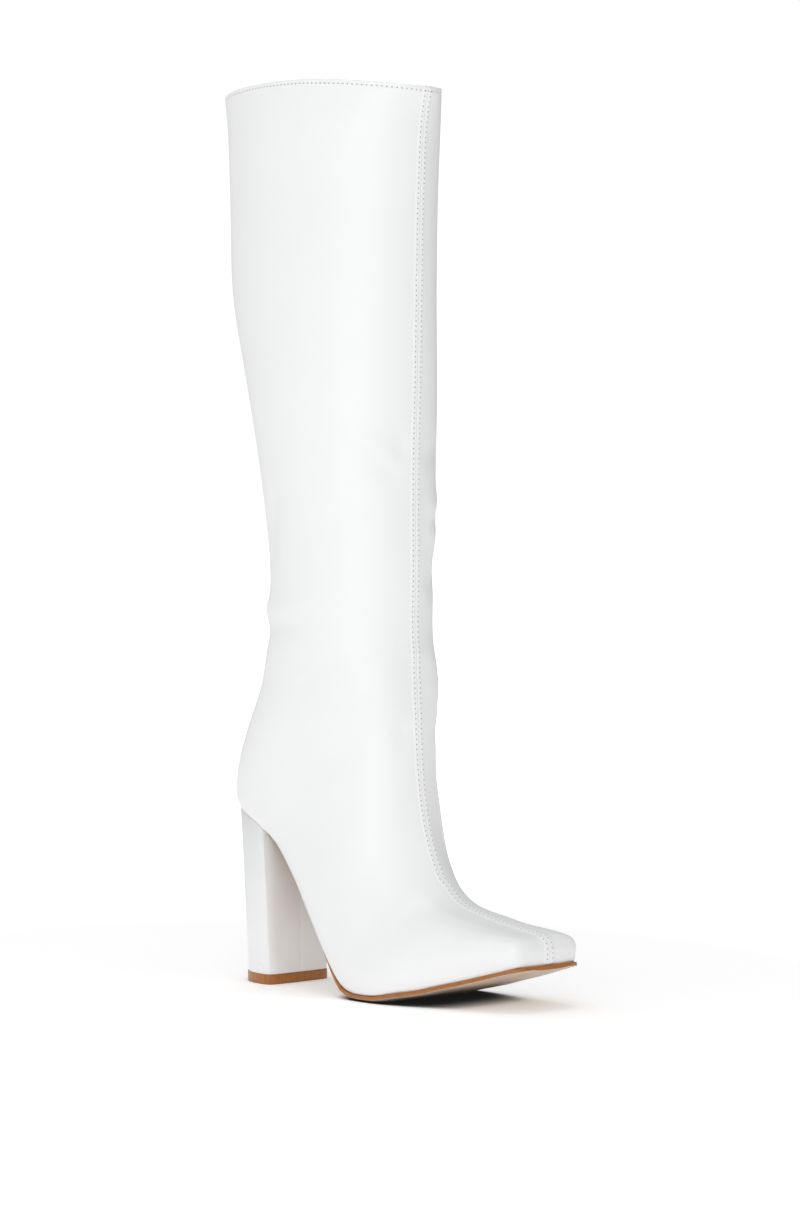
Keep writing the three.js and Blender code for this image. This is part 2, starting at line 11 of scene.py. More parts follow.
import bmesh
import bpy
import numpy as np
from mathutils import Matrix, Vector
from mathutils.bvhtree import BVHTree


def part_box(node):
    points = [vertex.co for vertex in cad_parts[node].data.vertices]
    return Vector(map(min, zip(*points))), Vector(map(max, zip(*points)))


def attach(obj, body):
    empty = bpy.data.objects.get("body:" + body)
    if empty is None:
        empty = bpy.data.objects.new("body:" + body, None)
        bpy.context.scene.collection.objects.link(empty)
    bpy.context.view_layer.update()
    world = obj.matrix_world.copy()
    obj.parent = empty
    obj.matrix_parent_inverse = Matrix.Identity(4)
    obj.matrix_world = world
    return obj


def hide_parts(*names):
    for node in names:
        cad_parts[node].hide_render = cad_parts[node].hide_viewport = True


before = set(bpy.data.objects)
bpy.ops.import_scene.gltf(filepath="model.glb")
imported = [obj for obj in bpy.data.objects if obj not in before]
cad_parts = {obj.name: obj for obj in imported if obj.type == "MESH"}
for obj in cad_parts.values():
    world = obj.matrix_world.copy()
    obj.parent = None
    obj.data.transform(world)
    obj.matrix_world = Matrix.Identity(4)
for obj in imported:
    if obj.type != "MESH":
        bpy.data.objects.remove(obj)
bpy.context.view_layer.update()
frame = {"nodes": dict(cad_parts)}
nodes = frame["nodes"]
MM = 0.001
print("nodes:", sorted(nodes))

# %% [markdown]
# ## The camera
# The photograph shows the boot's outer side and its front together, from far away with a long
# lens. A camera with the same turn, height and lens gives the same outline. It looks level, and
# the frame is shifted down a little, as a product photographer does to keep the shaft upright.

# %% Put the camera where the photographer stood
PHOTO_HEIGHT = 1209
HORIZON_ROW = 520
LENS_IN_PIXELS = 3825
CAMERA_TURN = math.radians(45)
CAMERA_AWAY = 2100 * MM
CAMERA_ASIDE = 66 * MM
CAMERA_HEIGHT = 252 * MM
SENSOR = 36

camera_data = bpy.data.cameras.new("photo_camera")
camera_data.sensor_width = SENSOR
camera_data.lens = SENSOR * LENS_IN_PIXELS / PHOTO_HEIGHT
camera_data.shift_y = (HORIZON_ROW - PHOTO_HEIGHT / 2) / PHOTO_HEIGHT
camera = bpy.data.objects.new("photo_camera", camera_data)
bpy.context.scene.collection.objects.link(camera)
back = Vector((math.sin(CAMERA_TURN), -math.cos(CAMERA_TURN), 0))
right = Vector((math.cos(CAMERA_TURN), math.sin(CAMERA_TURN), 0))
camera.location = back * CAMERA_AWAY + right * CAMERA_ASIDE + Vector((0, 0, CAMERA_HEIGHT))
camera.rotation_euler = (math.pi / 2, 0, CAMERA_TURN)
bpy.context.scene.camera = camera
print("camera at", tuple(round(v, 3) for v in camera.location), "lens", round(camera_data.lens, 1))

# %% [markdown]
# ## The studio
# The boot stands on a plain white floor in soft white light, and the picture's ground is pure white.
# A white room does most of the work. It is darker on the far side, past the toe, which gives the
# white leather its form: the strip beyond the front seam and the breast of the heel go grey. One
# lamp hangs overhead and keeps the floor white. The dark line under the sole is painted shadow,
# darkened into the floor's colour and glow where the sole comes close. A broad low lamp stands
# beside the camera and rounds the shaft, and a small high one lifts the shaft's top.

# %% White room, darker on the far side
DARK_SIDE = (0.17, 0.95, -0.1)
ROOM_BRIGHT, ROOM_DARK = 0.75, 0.36
ROOM_FADE = 0.85                # the room is darkest where it faces the dark side this squarely
BACKGROUND = 1.1


def set_range(node, low_end, high_end, first, second):
    for name, value in (("From Min", low_end), ("From Max", high_end), ("To Min", first), ("To Max", second)):
        node.inputs[name].default_value = value


def white_room():
    room = bpy.data.worlds.new("white_room")
    room.use_nodes = True
    nodes, links = room.node_tree.nodes, room.node_tree.links
    output, lit = nodes["World Output"], nodes["Background"]
    where = nodes.new("ShaderNodeTexCoord")
    facing = nodes.new("ShaderNodeVectorMath")
    facing.operation = "DOT_PRODUCT"
    facing.inputs[1].default_value = DARK_SIDE
    fade = nodes.new("ShaderNodeMapRange")
    fade.interpolation_type = "SMOOTHSTEP"
    set_range(fade, 0, ROOM_FADE, ROOM_BRIGHT, ROOM_DARK)
    links.new(where.outputs["Generated"], facing.inputs[0])
    links.new(facing.outputs["Value"], fade.inputs["Value"])
    links.new(fade.outputs["Result"], lit.inputs["Strength"])
    seen = nodes.new("ShaderNodeBackground")
    seen.inputs["Strength"].default_value = BACKGROUND
    seen.inputs["Color"].default_value = (1, 1, 1, 1)
    lit.inputs["Color"].default_value = (1, 1, 1, 1)
    path = nodes.new("ShaderNodeLightPath")
    pick = nodes.new("ShaderNodeMixShader")
    links.new(path.outputs["Is Camera Ray"], pick.inputs["Fac"])
    links.new(lit.outputs["Background"], pick.inputs[1])
    links.new(seen.outputs["Background"], pick.inputs[2])
    links.new(pick.outputs["Shader"], output.inputs["Surface"])
    return room


bpy.context.scene.world = white_room()
bpy.context.scene.view_settings.view_transform = "Standard"
print("room from", ROOM_DARK, "to", ROOM_BRIGHT)

# %% Floor
FLOOR_SIZE = 40
FLOOR_GLOW = 0.22               # near the boot; the camera sees it grow to a white horizon
GLOW_FROM, GLOW_TO = 0.3, 1.2   # distances from the boot over which the glow grows
# The dark line under the sole is painted shadow: the floor's colour and glow are darkened where the sole is
# close.
CONTACT_REACH = 16 * MM         # the floor goes dark where the sole is closer than this
CLOSED_SKY, OPEN_SKY = 0.12, 0.62
CONTACT_SHARE = 0.03            # what is left of the floor's light under the sole
FLOOR_PAINTED_SHADOW, FLOOR_WHITE = (0.02, 0.018, 0.018, 1), (0.95, 0.95, 0.95, 1)


def floor_finish():
    material = bpy.data.materials.new("floor_white")
    material.use_nodes = True
    shader = material.node_tree.nodes["Principled BSDF"]
    shader.inputs["Roughness"].default_value = 0.9
    shader.inputs["Specular IOR Level"].default_value = 0
    shader.inputs["Emission Color"].default_value = (1, 1, 1, 1)
    links, new_node = material.node_tree.links, material.node_tree.nodes.new
    where = new_node("ShaderNodeTexCoord")
    away, glow = new_node("ShaderNodeVectorMath"), new_node("ShaderNodeMapRange")
    away.operation = "LENGTH"
    set_range(glow, GLOW_FROM, GLOW_TO, 0, 1)
    seen, total = new_node("ShaderNodeLightPath"), new_node("ShaderNodeMath")
    total.operation = "MULTIPLY_ADD"
    total.inputs[2].default_value = FLOOR_GLOW
    links.new(where.outputs["Object"], away.inputs[0])
    links.new(away.outputs["Value"], glow.inputs["Value"])
    links.new(glow.outputs["Result"], total.inputs[0])
    links.new(seen.outputs["Is Camera Ray"], total.inputs[1])
    # Painted shadow: an occlusion mask darkens the floor's colour and its glow under the sole.
    near, open_sky = new_node("ShaderNodeAmbientOcclusion"), new_node("ShaderNodeMapRange")
    near.inputs["Distance"].default_value = CONTACT_REACH
    open_sky.interpolation_type = "SMOOTHSTEP"
    set_range(open_sky, CLOSED_SKY, OPEN_SKY, CONTACT_SHARE, 1)
    shade, glow_left = new_node("ShaderNodeMix"), new_node("ShaderNodeMath")
    shade.data_type, glow_left.operation = "RGBA", "MULTIPLY"
    shade.inputs[6].default_value = FLOOR_PAINTED_SHADOW
    shade.inputs[7].default_value = FLOOR_WHITE
    links.new(near.outputs["AO"], open_sky.inputs["Value"])
    links.new(open_sky.outputs["Result"], shade.inputs["Factor"])
    links.new(shade.outputs[2], shader.inputs["Base Color"])
    links.new(total.outputs["Value"], glow_left.inputs[0])
    links.new(open_sky.outputs["Result"], glow_left.inputs[1])
    links.new(glow_left.outputs["Value"], shader.inputs["Emission Strength"])
    return material


def white_floor():
    bm = bmesh.new()
    bmesh.ops.create_grid(bm, x_segments=1, y_segments=1, size=FLOOR_SIZE / 2)
    mesh = bpy.data.meshes.new("floor")
    bm.to_mesh(mesh)
    bm.free()
    mesh.materials.append(floor_finish())
    floor = bpy.data.objects.new("floor", mesh)
    bpy.context.scene.collection.objects.link(floor)


white_floor()
print("floor", FLOOR_SIZE, "m wide")


# %% Lamps
def lamp(name, place, target, size, power):
    data = bpy.data.lights.new(name, "AREA")
    data.shape = "RECTANGLE"
    data.size, data.size_y = size
    data.energy = power
    obj = bpy.data.objects.new(name, data)
    obj.location = place
    obj.rotation_euler = (Vector(target) - Vector(place)).to_track_quat("-Z", "Y").to_euler()
    bpy.context.scene.collection.objects.link(obj)


lamp("overhead_lamp", (0.1, -0.2, 2.4), (0.08, 0, 0), (1.5, 1.5), 7.2)
lamp("low_softbox", (1.15, -1.35, 0.4), (0.05, 0, 0.1), (1.5, 0.9), 5.0)
lamp("high_softbox", (1.1, -1.2, 1.2), (0.05, 0, 0.45), (0.7, 0.6), 1.3)

# %% [markdown]
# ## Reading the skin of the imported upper
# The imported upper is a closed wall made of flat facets. The new sheet is laid on its outer skin, so
# that skin is taken out first: the faces that look away from the boot. A face of the lining looks
# across the hollow and sees the opposite wall. A face of the cut edges looks straight up or down.

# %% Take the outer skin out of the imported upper


def outer_skin(node):
    """Vertices, triangles, smooth normals and a search tree of the skin that shows."""
    bm = bmesh.new()
    bm.from_mesh(nodes[node].data)
    bmesh.ops.remove_doubles(bm, verts=bm.verts, dist=1e-6)
    whole = BVHTree.FromBMesh(bm)
    hidden = []
    for face in bm.faces:
        normal = face.normal
        if abs(normal.y) < 0.002 and abs(normal.z) > 0.3:
            hidden.append(face)
            continue
        across = Vector((0, math.copysign(1, normal.y), 0))
        start = face.calc_center_median() + normal * 0.1 * MM
        sights = [whole.ray_cast(start, direction)[3] for direction in (across, normal)]
        if any(distance is not None and distance > 3 * MM for distance in sights):
            hidden.append(face)
    bmesh.ops.delete(bm, geom=hidden, context="FACES")
    bm.verts.index_update()
    points = np.array([v.co for v in bm.verts])
    corners = np.array([[v.index for v in face.verts] for face in bm.faces])
    bm.free()
    a, b, c = (points[corners[:, k]] for k in range(3))
    face_normals = np.cross(b - a, c - a)
    normals = np.zeros_like(points)
    for k in range(3):
        np.add.at(normals, corners[:, k], face_normals)
    normals /= np.linalg.norm(normals, axis=1, keepdims=True) + 1e-12
    tree = BVHTree.FromPolygons(points.tolist(), corners.tolist(), all_triangles=True)
    return points, corners, normals, tree


skin_points, skin_corners, skin_normals, skin_tree = outer_skin("upper")
print("skin:", len(skin_points), "points,", len(skin_corners), "triangles")

# %% [markdown]
# A ray that comes from outside meets the skin on a flat facet, but the leather is round there. The
# hit is therefore moved out by the normals of the facet's three corners, which rounds the facets
# off. This is Phong tessellation, done for single points.

# %% Meet the rounded skin from outside
ROUNDING = 0.75


def rounded(hit, index):
    corner = skin_corners[index]
    p = skin_points[corner]
    n = skin_normals[corner]
    hit = np.array(hit)
    edge_1, edge_2, to_hit = p[1] - p[0], p[2] - p[0], hit - p[0]
    d11, d12, d22 = edge_1 @ edge_1, edge_1 @ edge_2, edge_2 @ edge_2
    h1, h2 = to_hit @ edge_1, to_hit @ edge_2
    area = d11 * d22 - d12 * d12
    v = (d22 * h1 - d12 * h2) / area
    w = (d11 * h2 - d12 * h1) / area
    shares = np.array((1 - v - w, v, w))
    on_planes = hit - ((hit - p) * n).sum(1)[:, None] * n
    return hit + ROUNDING * (shares @ on_planes - hit)


def meet(start, direction):
    hit, _, index, _ = skin_tree.ray_cast(Vector(start), Vector(direction))
    return None if hit is None else rounded(hit, index)


def edge_height(x, highest):
    """Height of the skin's highest or lowest point in the plane across the boot at x."""
    a = skin_points[skin_corners]
    heights = []
    for i, j in ((0, 1), (1, 2), (2, 0)):
        p, q = a[:, i], a[:, j]
        crossing = (p[:, 0] - x) * (q[:, 0] - x) < 0
        share = (x - p[crossing, 0]) / (q[crossing, 0] - p[crossing, 0])
        heights.append(p[crossing, 2] + share * (q[crossing, 2] - p[crossing, 2]))
    heights = np.concatenate(heights)
    return heights.max() if highest else heights.min()


low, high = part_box("upper")
print("upper from", tuple(round(v, 3) for v in low), "to", tuple(round(v, 3) for v in high))

# %% [markdown]
# ## Three lines of the boot, seen from the side
# The sheet hangs on three lines: the front seam, from the collar down the shin and over the vamp to
# the tip of the toe, the back of the leg, and the feather edge, where the upper meets the sole.
# The toe turns a little to the inner side, so the front seam does too.

# %% Front seam, back line and feather edge
TOE_TURN = 4 * MM
TURN_FROM, TURN_TO = 75 * MM, 185 * MM
INSTEP_HEIGHT = 62 * MM
FAR_AWAY = 0.4
TOE_CORNER = 188 * MM
BESIDE = 0.03 * MM              # rays pass this far beside the seam's own edges


def ease(low_end, high_end, value):
    t = np.clip((value - low_end) / (high_end - low_end), 0, 1)
    return t * t * (3 - 2 * t)


def seam_side(x):
    return TOE_TURN * ease(TURN_FROM, TURN_TO, x)


def run_of(line):
    steps = np.linalg.norm(np.diff(line, axis=0), axis=1)
    return np.concatenate(([0], np.cumsum(steps)))


def place_on(line, run, at):
    return np.stack([np.interp(at, run, line[:, k]) for k in range(line.shape[1])], axis=-1)


def find_front_line():
    points = []
    front = meet((FAR_AWAY, BESIDE, high.z - 20 * MM), (-1, 0, 0))[0]
    top = edge_height(front, True)
    for z in np.arange(top - 0.4 * MM, INSTEP_HEIGHT, -1.5 * MM):
        points.append(meet((FAR_AWAY, BESIDE, z), (-1, 0, 0)))
    toe_top = high.x - 8 * MM
    for x in np.arange(points[-1][0] + 1.5 * MM, toe_top, 1.5 * MM):
        points.append(meet((x, seam_side(x) + BESIDE, FAR_AWAY), (0, 0, -1)))
    toe_foot = edge_height(high.x - 2 * MM, False)
    for z in np.linspace(points[-1][2] - 1 * MM, toe_foot + 0.4 * MM, 24):
        points.append(meet((FAR_AWAY, TOE_TURN + BESIDE, z), (-1, 0, 0)))
    return np.array([point for point in points if point is not None])


def find_seat_corner():
    """The lowest point of the back, where the back line meets the feather edge."""
    behind = skin_points[(skin_points[:, 0] < -10 * MM) & (abs(skin_points[:, 1]) < 1 * MM)]
    return behind[behind[:, 2].argmin()]


def find_back_line():
    back_top = edge_height(low.x + 3 * MM, True)
    heights = np.arange(back_top - 0.4 * MM, seat_corner[2] + 0.3 * MM, -1.5 * MM)
    return np.array([meet((-FAR_AWAY, BESIDE, z), (1, 0, 0)) for z in heights])


def find_feather_edge(side, toe_corner):
    """The lower edge of the upper on one side, from the back of the seat to the toe's corner."""
    turns = np.linspace(0, math.pi / 2, 260)
    back_x = seat_corner[0] + 0.1 * MM
    points = [seat_corner]
    for x in back_x + (toe_corner - back_x) * (1 - np.cos(turns)):
        z = edge_height(x, False)
        hit = meet((x, side * FAR_AWAY, z + 0.5 * MM), (0, -side, 0))
        if hit is not None:
            points.append((x, hit[1], z))
    return np.array(points)


seat_corner = find_seat_corner()
front_line = find_front_line()
back_line = find_back_line()
for name, line in (("front seam", front_line), ("back line", back_line)):
    print(name, round(run_of(line)[-1] / MM), "mm")
feather_edges = {side: find_feather_edge(side, TOE_CORNER) for side in (-1, 1)}
print("front seam ends at", front_line[0].round(4), front_line[-1].round(4))
print("back line ends at", back_line[0].round(4), back_line[-1].round(4))
for side, edge in feather_edges.items():
    print("feather edge", side, edge[0].round(4), edge[-1].round(4), round(run_of(edge)[-1] / MM), "mm")

# %% [markdown]
# ## Rows of the sheet
# The sheet has rows round the leg, as a tape measure would lie. Down the shaft they are level. At
# the ankle they fan out, because the back of the boot is longer than the front, and along the foot
# they run from the feather edge over the vamp to the other side. A short table pairs places on the
# front seam with places on the lower line, which is the back line and then the feather edge.

# %% Pair the front seam with the lower line
ROW_SPACING = 2.5 * MM
SHAFT_SPACING = 3.2 * MM
COLLAR_STOPS = np.array((0, 0.5, 1.1, 1.8, 2.3, 2.6, 2.9, 3.4, 4.2, 5.2, 6.6, 8.4)) * MM
TOE_STOPS = np.array((2.4, 1.5, 0.9, 0.4, 0)) * MM
# Front seam and lower line, each as millimetres from the collar.
row_pairs = np.array((
    (297, 299), (304, 329), (312.5, 351), (320, 373), (326.5, 385), (332, 397), (338, 428),
    (346.5, 450), (360.5, 473), (376, 498), (392, 522), (407, 544), (420, 560), (432.5, 571.5),
    (445, 585.5), (460.5, 601), (473, 618), (486.5, 633.5), (495.5, 644), (501, 652.5), (507, 660),
)) * MM

front_run = run_of(front_line)
lower_line = {side: np.concatenate((back_line, edge)) for side, edge in feather_edges.items()}
lower_run = {side: run_of(line) for side, line in lower_line.items()}
back_length = run_of(back_line)[-1]


def smooth_through(knots, values, at):
    """A curve through the values whose slope at each knot follows its neighbours."""
    slopes = np.gradient(values, knots)
    i = np.clip(np.searchsorted(knots, at) - 1, 0, len(knots) - 2)
    span = knots[i + 1] - knots[i]
    t = (at - knots[i]) / span
    return ((2 * t**3 - 3 * t**2 + 1) * values[i] + (t**3 - 2 * t**2 + t) * span * slopes[i]
            + (3 * t**2 - 2 * t**3) * values[i + 1] + (t**3 - t**2) * span * slopes[i + 1])


def row_stops():
    """For each row, its place on the front seam and on the lower line."""
    ends = np.array((front_run[-1], lower_run[-1][-1]))
    pairs = np.concatenate((COLLAR_STOPS[-1:, None] * np.ones((1, 2)), row_pairs, ends[None]))
    steps = [math.ceil(max(b - a) / ROW_SPACING) for a, b in zip(pairs, pairs[1:])]
    steps[0] = math.ceil((pairs[1] - pairs[0]).max() / SHAFT_SPACING)
    knots = np.concatenate(([0], np.cumsum(steps))).astype(float)
    at = np.arange(1, knots[-1])
    middle = np.stack([smooth_through(knots, pairs[:, k], at) for k in (0, 1)], axis=1)
    middle = middle[ends[0] - middle[:, 0] > 1.3 * TOE_STOPS[0]]
    top = COLLAR_STOPS[:, None] * np.ones((1, 2))
    shares = TOE_STOPS[:, None] / (ends - middle[-1])[0]
    toe = ends + shares * (middle[-1] - ends)
    return np.concatenate((top, middle, toe))


stops = row_stops()
print(len(stops), "rows")

# %% [markdown]
# Each row is cut by a plane across the boot. Rays come in from outside towards the middle of the
# plane, and their hits are the row's outline, from the front seam round to the lower line. Points
# are then set out along that outline. They are close together at the front seam and at the lower
# line, where the fine forms are, and share the rest evenly.

# %% Lay the rows on the skin
RAYS = 64
HALF_WIDTH = 41 * MM
OUTSIDE = 25 * MM
SEAM_STOPS = np.array((0, 0.35, 0.8, 1.3, 1.8, 2.2, 2.6, 3.1, 3.5, 3.9, 4.5, 5.4)) * MM
EDGE_STOPS = np.array((2.6, 1.6, 0.9, 0.4, 0)) * MM
EVEN_COLUMNS = 66
COLLAR_FADE = 60 * MM
TOE_CENTRE = 180 * MM

collar_x = np.linspace(low.x + 1 * MM, front_line[0][0] - 0.5 * MM, 40)
collar_z = np.array([edge_height(x, True) for x in collar_x])


def collar_bulge(x, z):
    """How far the collar's edge lies over a straight row from the back to the front."""
    straight = np.interp(x, (back_line[0][0], front_line[0][0]), (back_line[0][2], front_line[0][2]))
    return np.interp(x, collar_x, collar_z) - 0.4 * MM - straight


def row_outline(front, end, closed, run, side):
    middle = (front + end) / 2
    middle[1] = front[1]
    axis = front - end
    axis[1] = 0
    reach = np.linalg.norm(axis) / 2
    axis /= 2 * reach
    aside = abs(end[1] - front[1]) / HALF_WIDTH
    last = math.pi if closed else math.atan2(aside, -1)
    outline = [front]
    for angle in np.linspace(0, last, RAYS)[1:-1]:
        across = np.array((0, side * HALF_WIDTH * math.sin(angle), 0))
        direction = axis * reach * math.cos(angle) + across
        length = np.linalg.norm(direction)
        direction /= length
        start = middle + direction * (length + OUTSIDE)
        hit = meet(start, -direction)
        if hit is None:
            spot, _, index, _ = skin_tree.find_nearest(Vector(middle + direction * length))
            hit = rounded(spot, index)
        elif run < COLLAR_FADE:
            lift = collar_bulge(hit[0], hit[2]) * (1 - ease(0, COLLAR_FADE, run))
            higher = meet(start + (0, 0, lift), -direction)
            hit = hit + (0, 0, lift) if higher is None else higher
        outline.append(hit)
    outline.append(end)
    return np.array(outline)


def row_columns(outline):
    run = run_of(outline)
    free = run[-1] - SEAM_STOPS[-1] - EDGE_STOPS[0]
    even = SEAM_STOPS[-1] + free * np.arange(1, EVEN_COLUMNS) / EVEN_COLUMNS
    at = np.concatenate((SEAM_STOPS, even, run[-1] - EDGE_STOPS))
    return place_on(outline, run, at), at, run[-1] - at


def toe_edge(centre, direction):
    """The point of the lower edge that lies in this direction from the middle of the toe."""
    spot = front_line[-1]
    for _ in range(3):
        z = edge_height(min(spot[0], front_line[-1][0] - 1 * MM), False)
        start = centre + direction * FAR_AWAY + (0, 0, z)
        sights = [meet(start + (0, 0, lift * MM), -direction) for lift in (0.3, 0.8, 1.4, 2, 3)]
        spot = next((hit for hit in sights if hit is not None), spot)
    return np.array((spot[0], spot[1], z))


def toe_outline(side):
    """The lower edge at the toe, from the front seam round the corner."""
    corner = lower_line[side][-1]
    centre = np.array((TOE_CENTRE, front_line[-1][1], 0))
    last = math.atan2(abs(corner[1] - centre[1]), corner[0] - centre[0])
    angles = np.linspace(0, last, RAYS)[1:-1]
    around = [toe_edge(centre, np.array((math.cos(a), side * math.sin(a), 0))) for a in angles]
    return np.array([front_line[-1], *around, corner])


rows, from_seam, from_edge = [], [], []
for row, (front_at, lower_at) in enumerate(stops):
    front = place_on(front_line, front_run, front_at)
    closed = lower_at < back_length + 2 * MM
    halves = []
    for side in (-1, 1):
        end_at = lower_at * lower_run[side][-1] / lower_run[-1][-1] if not closed else lower_at
        end = place_on(lower_line[side], lower_run[side], end_at)
        if row < len(stops) - 1:
            outline = row_outline(front, end, closed, front_at, side)
        else:
            outline = toe_outline(side)
        halves.append(row_columns(outline))
    (outer, outer_at, outer_left), (inner, inner_at, inner_left) = halves
    rows.append(np.concatenate((outer[::-1], inner[1:])))
    from_seam.append(np.concatenate((-outer_at[::-1], inner_at[1:])))
    from_edge.append(np.concatenate((outer_left[::-1], inner_left[1:])))
sheet = np.array(rows)
whole_row = -len(TOE_STOPS)
for row in range(whole_row + 1, -1):
    share = 1 - TOE_STOPS[row] / TOE_STOPS[0]
    sheet[row] = (1 - share) * sheet[whole_row] + share * sheet[-1]
from_seam = np.array(from_seam)
from_seam[whole_row:] = from_seam[whole_row]
from_edge = np.array(from_edge)
seam_column = sheet.shape[1] // 2
closed_rows = int((stops[:, 1] < back_length + 2 * MM).sum())
print("sheet of", sheet.shape[0], "rows and", sheet.shape[1], "columns,", closed_rows, "rows closed")

# %% [markdown]
# ## A smooth skin
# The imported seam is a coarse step, so the strip under it is bridged first with a curve that leaves
# and arrives in the direction of the leather beside it. Then the last of the facets goes. Every
# point moves along its own normal towards the middle of its neighbours, and in the next round
# almost as far back. Short waves fade that way and the form keeps its size.

# %% Bridge the strip under the seam
BRIDGED = len(SEAM_STOPS) + 1    # columns on each side


def bridge_seam(row, at):
    left, right = seam_column - BRIDGED, seam_column + BRIDGED
    span = at[right] - at[left]
    slopes = np.diff(row, axis=0) / np.diff(at)[:, None]
    leaving = (1.5 * slopes[left - 1] - 0.5 * slopes[left - 2]) * span
    arriving = (1.5 * slopes[right] - 0.5 * slopes[right + 1]) * span
    t = ((at[left:right + 1] - at[left]) / span)[:, None]
    return ((2 * t**3 - 3 * t**2 + 1) * row[left] + (t**3 - 2 * t**2 + t) * leaving
            + (3 * t**2 - 2 * t**3) * row[right] + (t**3 - t**2) * arriving)


for row, at in zip(sheet, from_seam):
    row[seam_column - BRIDGED:seam_column + BRIDGED + 1] = bridge_seam(row, at)
bridged_width = from_seam[0, seam_column + BRIDGED] - from_seam[0, seam_column]
print("bridged", round(bridged_width / MM, 1), "mm each side")

# %% Smooth the facets away
SMOOTH_ROUNDS = 40
TOE_ROUNDS = 120                # the toe turns sharply, so its facets were the largest
TOE_FROM, TOE_TO = 0.72, 0.84   # shares of the way down the sheet
FORTH, BACK = 0.5, -0.52


def with_sides(points):
    """The sheet with one more column at each side: round the back on closed rows, straight on below."""
    left, right = 2 * points[:, :1] - points[:, 1:2], 2 * points[:, -1:] - points[:, -2:-1]
    left[:closed_rows] = points[:closed_rows, -2:-1]
    right[:closed_rows] = points[:closed_rows, 1:2]
    return np.concatenate((left, points, right), axis=1)


def length_of(vectors):
    return np.linalg.norm(vectors, axis=-1, keepdims=True) + 1e-9


def normals_of(points):
    wide = with_sides(points)
    across = wide[:, 2:] - wide[:, :-2]
    down = np.gradient(points, axis=0)
    normal = np.cross(across, down)
    normal /= length_of(normal)
    outward = normal[:, 20, 1].mean() < 0
    return normal if outward else -normal


def between(a, point, b):
    """The place on the line from a to b that divides it as the point's distances to them do."""
    to_a, to_b = length_of(a - point), length_of(b - point)
    return (a * to_b + b * to_a) / (to_a + to_b)


def smooth_sheet(points, strength, share=1):
    wide = with_sides(points)
    target = points.copy()
    across = between(wide[:, :-2], points, wide[:, 2:])
    along = between(points[:-2], points[1:-1], points[2:])
    target[1:-1] = (across[1:-1] + along) / 2
    normal = normals_of(points)
    moved = points + strength * ((target - points) * normal).sum(-1, keepdims=True) * normal
    moved[0] = points[0] + strength * (across[0] - points[0])
    moved[-1, 1:-1] = points[-1, 1:-1] + strength * (across[-1, 1:-1] - points[-1, 1:-1])
    for side in (0, -1):
        moved[closed_rows:, side] = points[closed_rows:, side]
        edge = slice(closed_rows + 1, -2)
        moved[edge, side] += strength * (along[closed_rows:-1, side] - points[edge, side])
    return points + share * (moved - points)


before = sheet.copy()
toe_share = ease(TOE_FROM, TOE_TO, np.arange(len(sheet)) / len(sheet))[:, None, None]
for _ in range(SMOOTH_ROUNDS):
    sheet = smooth_sheet(sheet, FORTH)
    sheet = smooth_sheet(sheet, BACK)
for _ in range(TOE_ROUNDS):
    sheet = smooth_sheet(sheet, FORTH, toe_share)
    sheet = smooth_sheet(sheet, BACK, toe_share)
shift = np.linalg.norm(sheet - before, axis=-1) / MM
print("smoothing moved the skin by", shift.mean().round(2), "mm on average, at most", shift.max().round(2))

# %% [markdown]
# ## The relief of the sewing
# A boot of this kind is sewn from two halves. Down the front they are joined and a strip is stitched
# flat over the join, so the seam is a low band with a fine line in the middle and a furrow under
# each row of stitches. The collar is turned in and stitched, and at the sole the leather is pulled
# round the edge of the insole. All of this is less than a millimetre high, and it is what the light
# catches on, so it is real relief in the sheet.

# %% Raise the seam, press in the stitch rows, turn the edges
STITCH_ROW = 2.2 * MM
COLLAR_ROW = 2.6 * MM


def groove(distance, width):
    return np.exp(-(distance / width) ** 2)


def seam_relief(s):
    s = abs(s)
    band = 0.46 * (1 - ease(2.7 * MM, 4.2 * MM, s))
    return band - 0.3 * groove(s, 0.4 * MM) - 0.2 * groove(s - STITCH_ROW, 0.4 * MM)


def collar_relief(d):
    fold = 0.12 * (1 - ease(COLLAR_ROW, 4.5 * MM, d))
    rim = -0.65 * np.clip(1 - d / (0.9 * MM), 0, 1) ** 2
    return fold + rim - 0.22 * groove(d - COLLAR_ROW, 0.5 * MM)


def turned_edge(d):
    return -0.75 * np.clip(1 - d / (1.7 * MM), 0, 1) ** 2


down_steps = np.linalg.norm(np.diff(sheet, axis=0), axis=-1)
from_collar = np.concatenate((np.zeros((1, sheet.shape[1])), np.cumsum(down_steps, axis=0)))
from_toe = from_collar[-1] - from_collar
feather = from_edge.copy()
feather[:closed_rows] = 1
feather = np.minimum(feather, from_toe)
relief = seam_relief(from_seam) * ease(0, 1.5 * MM, feather) * ease(0, 1.2 * MM, from_collar)
relief += collar_relief(from_collar) + turned_edge(feather)
print("relief from", relief.min().round(2), "to", relief.max().round(2), "mm")
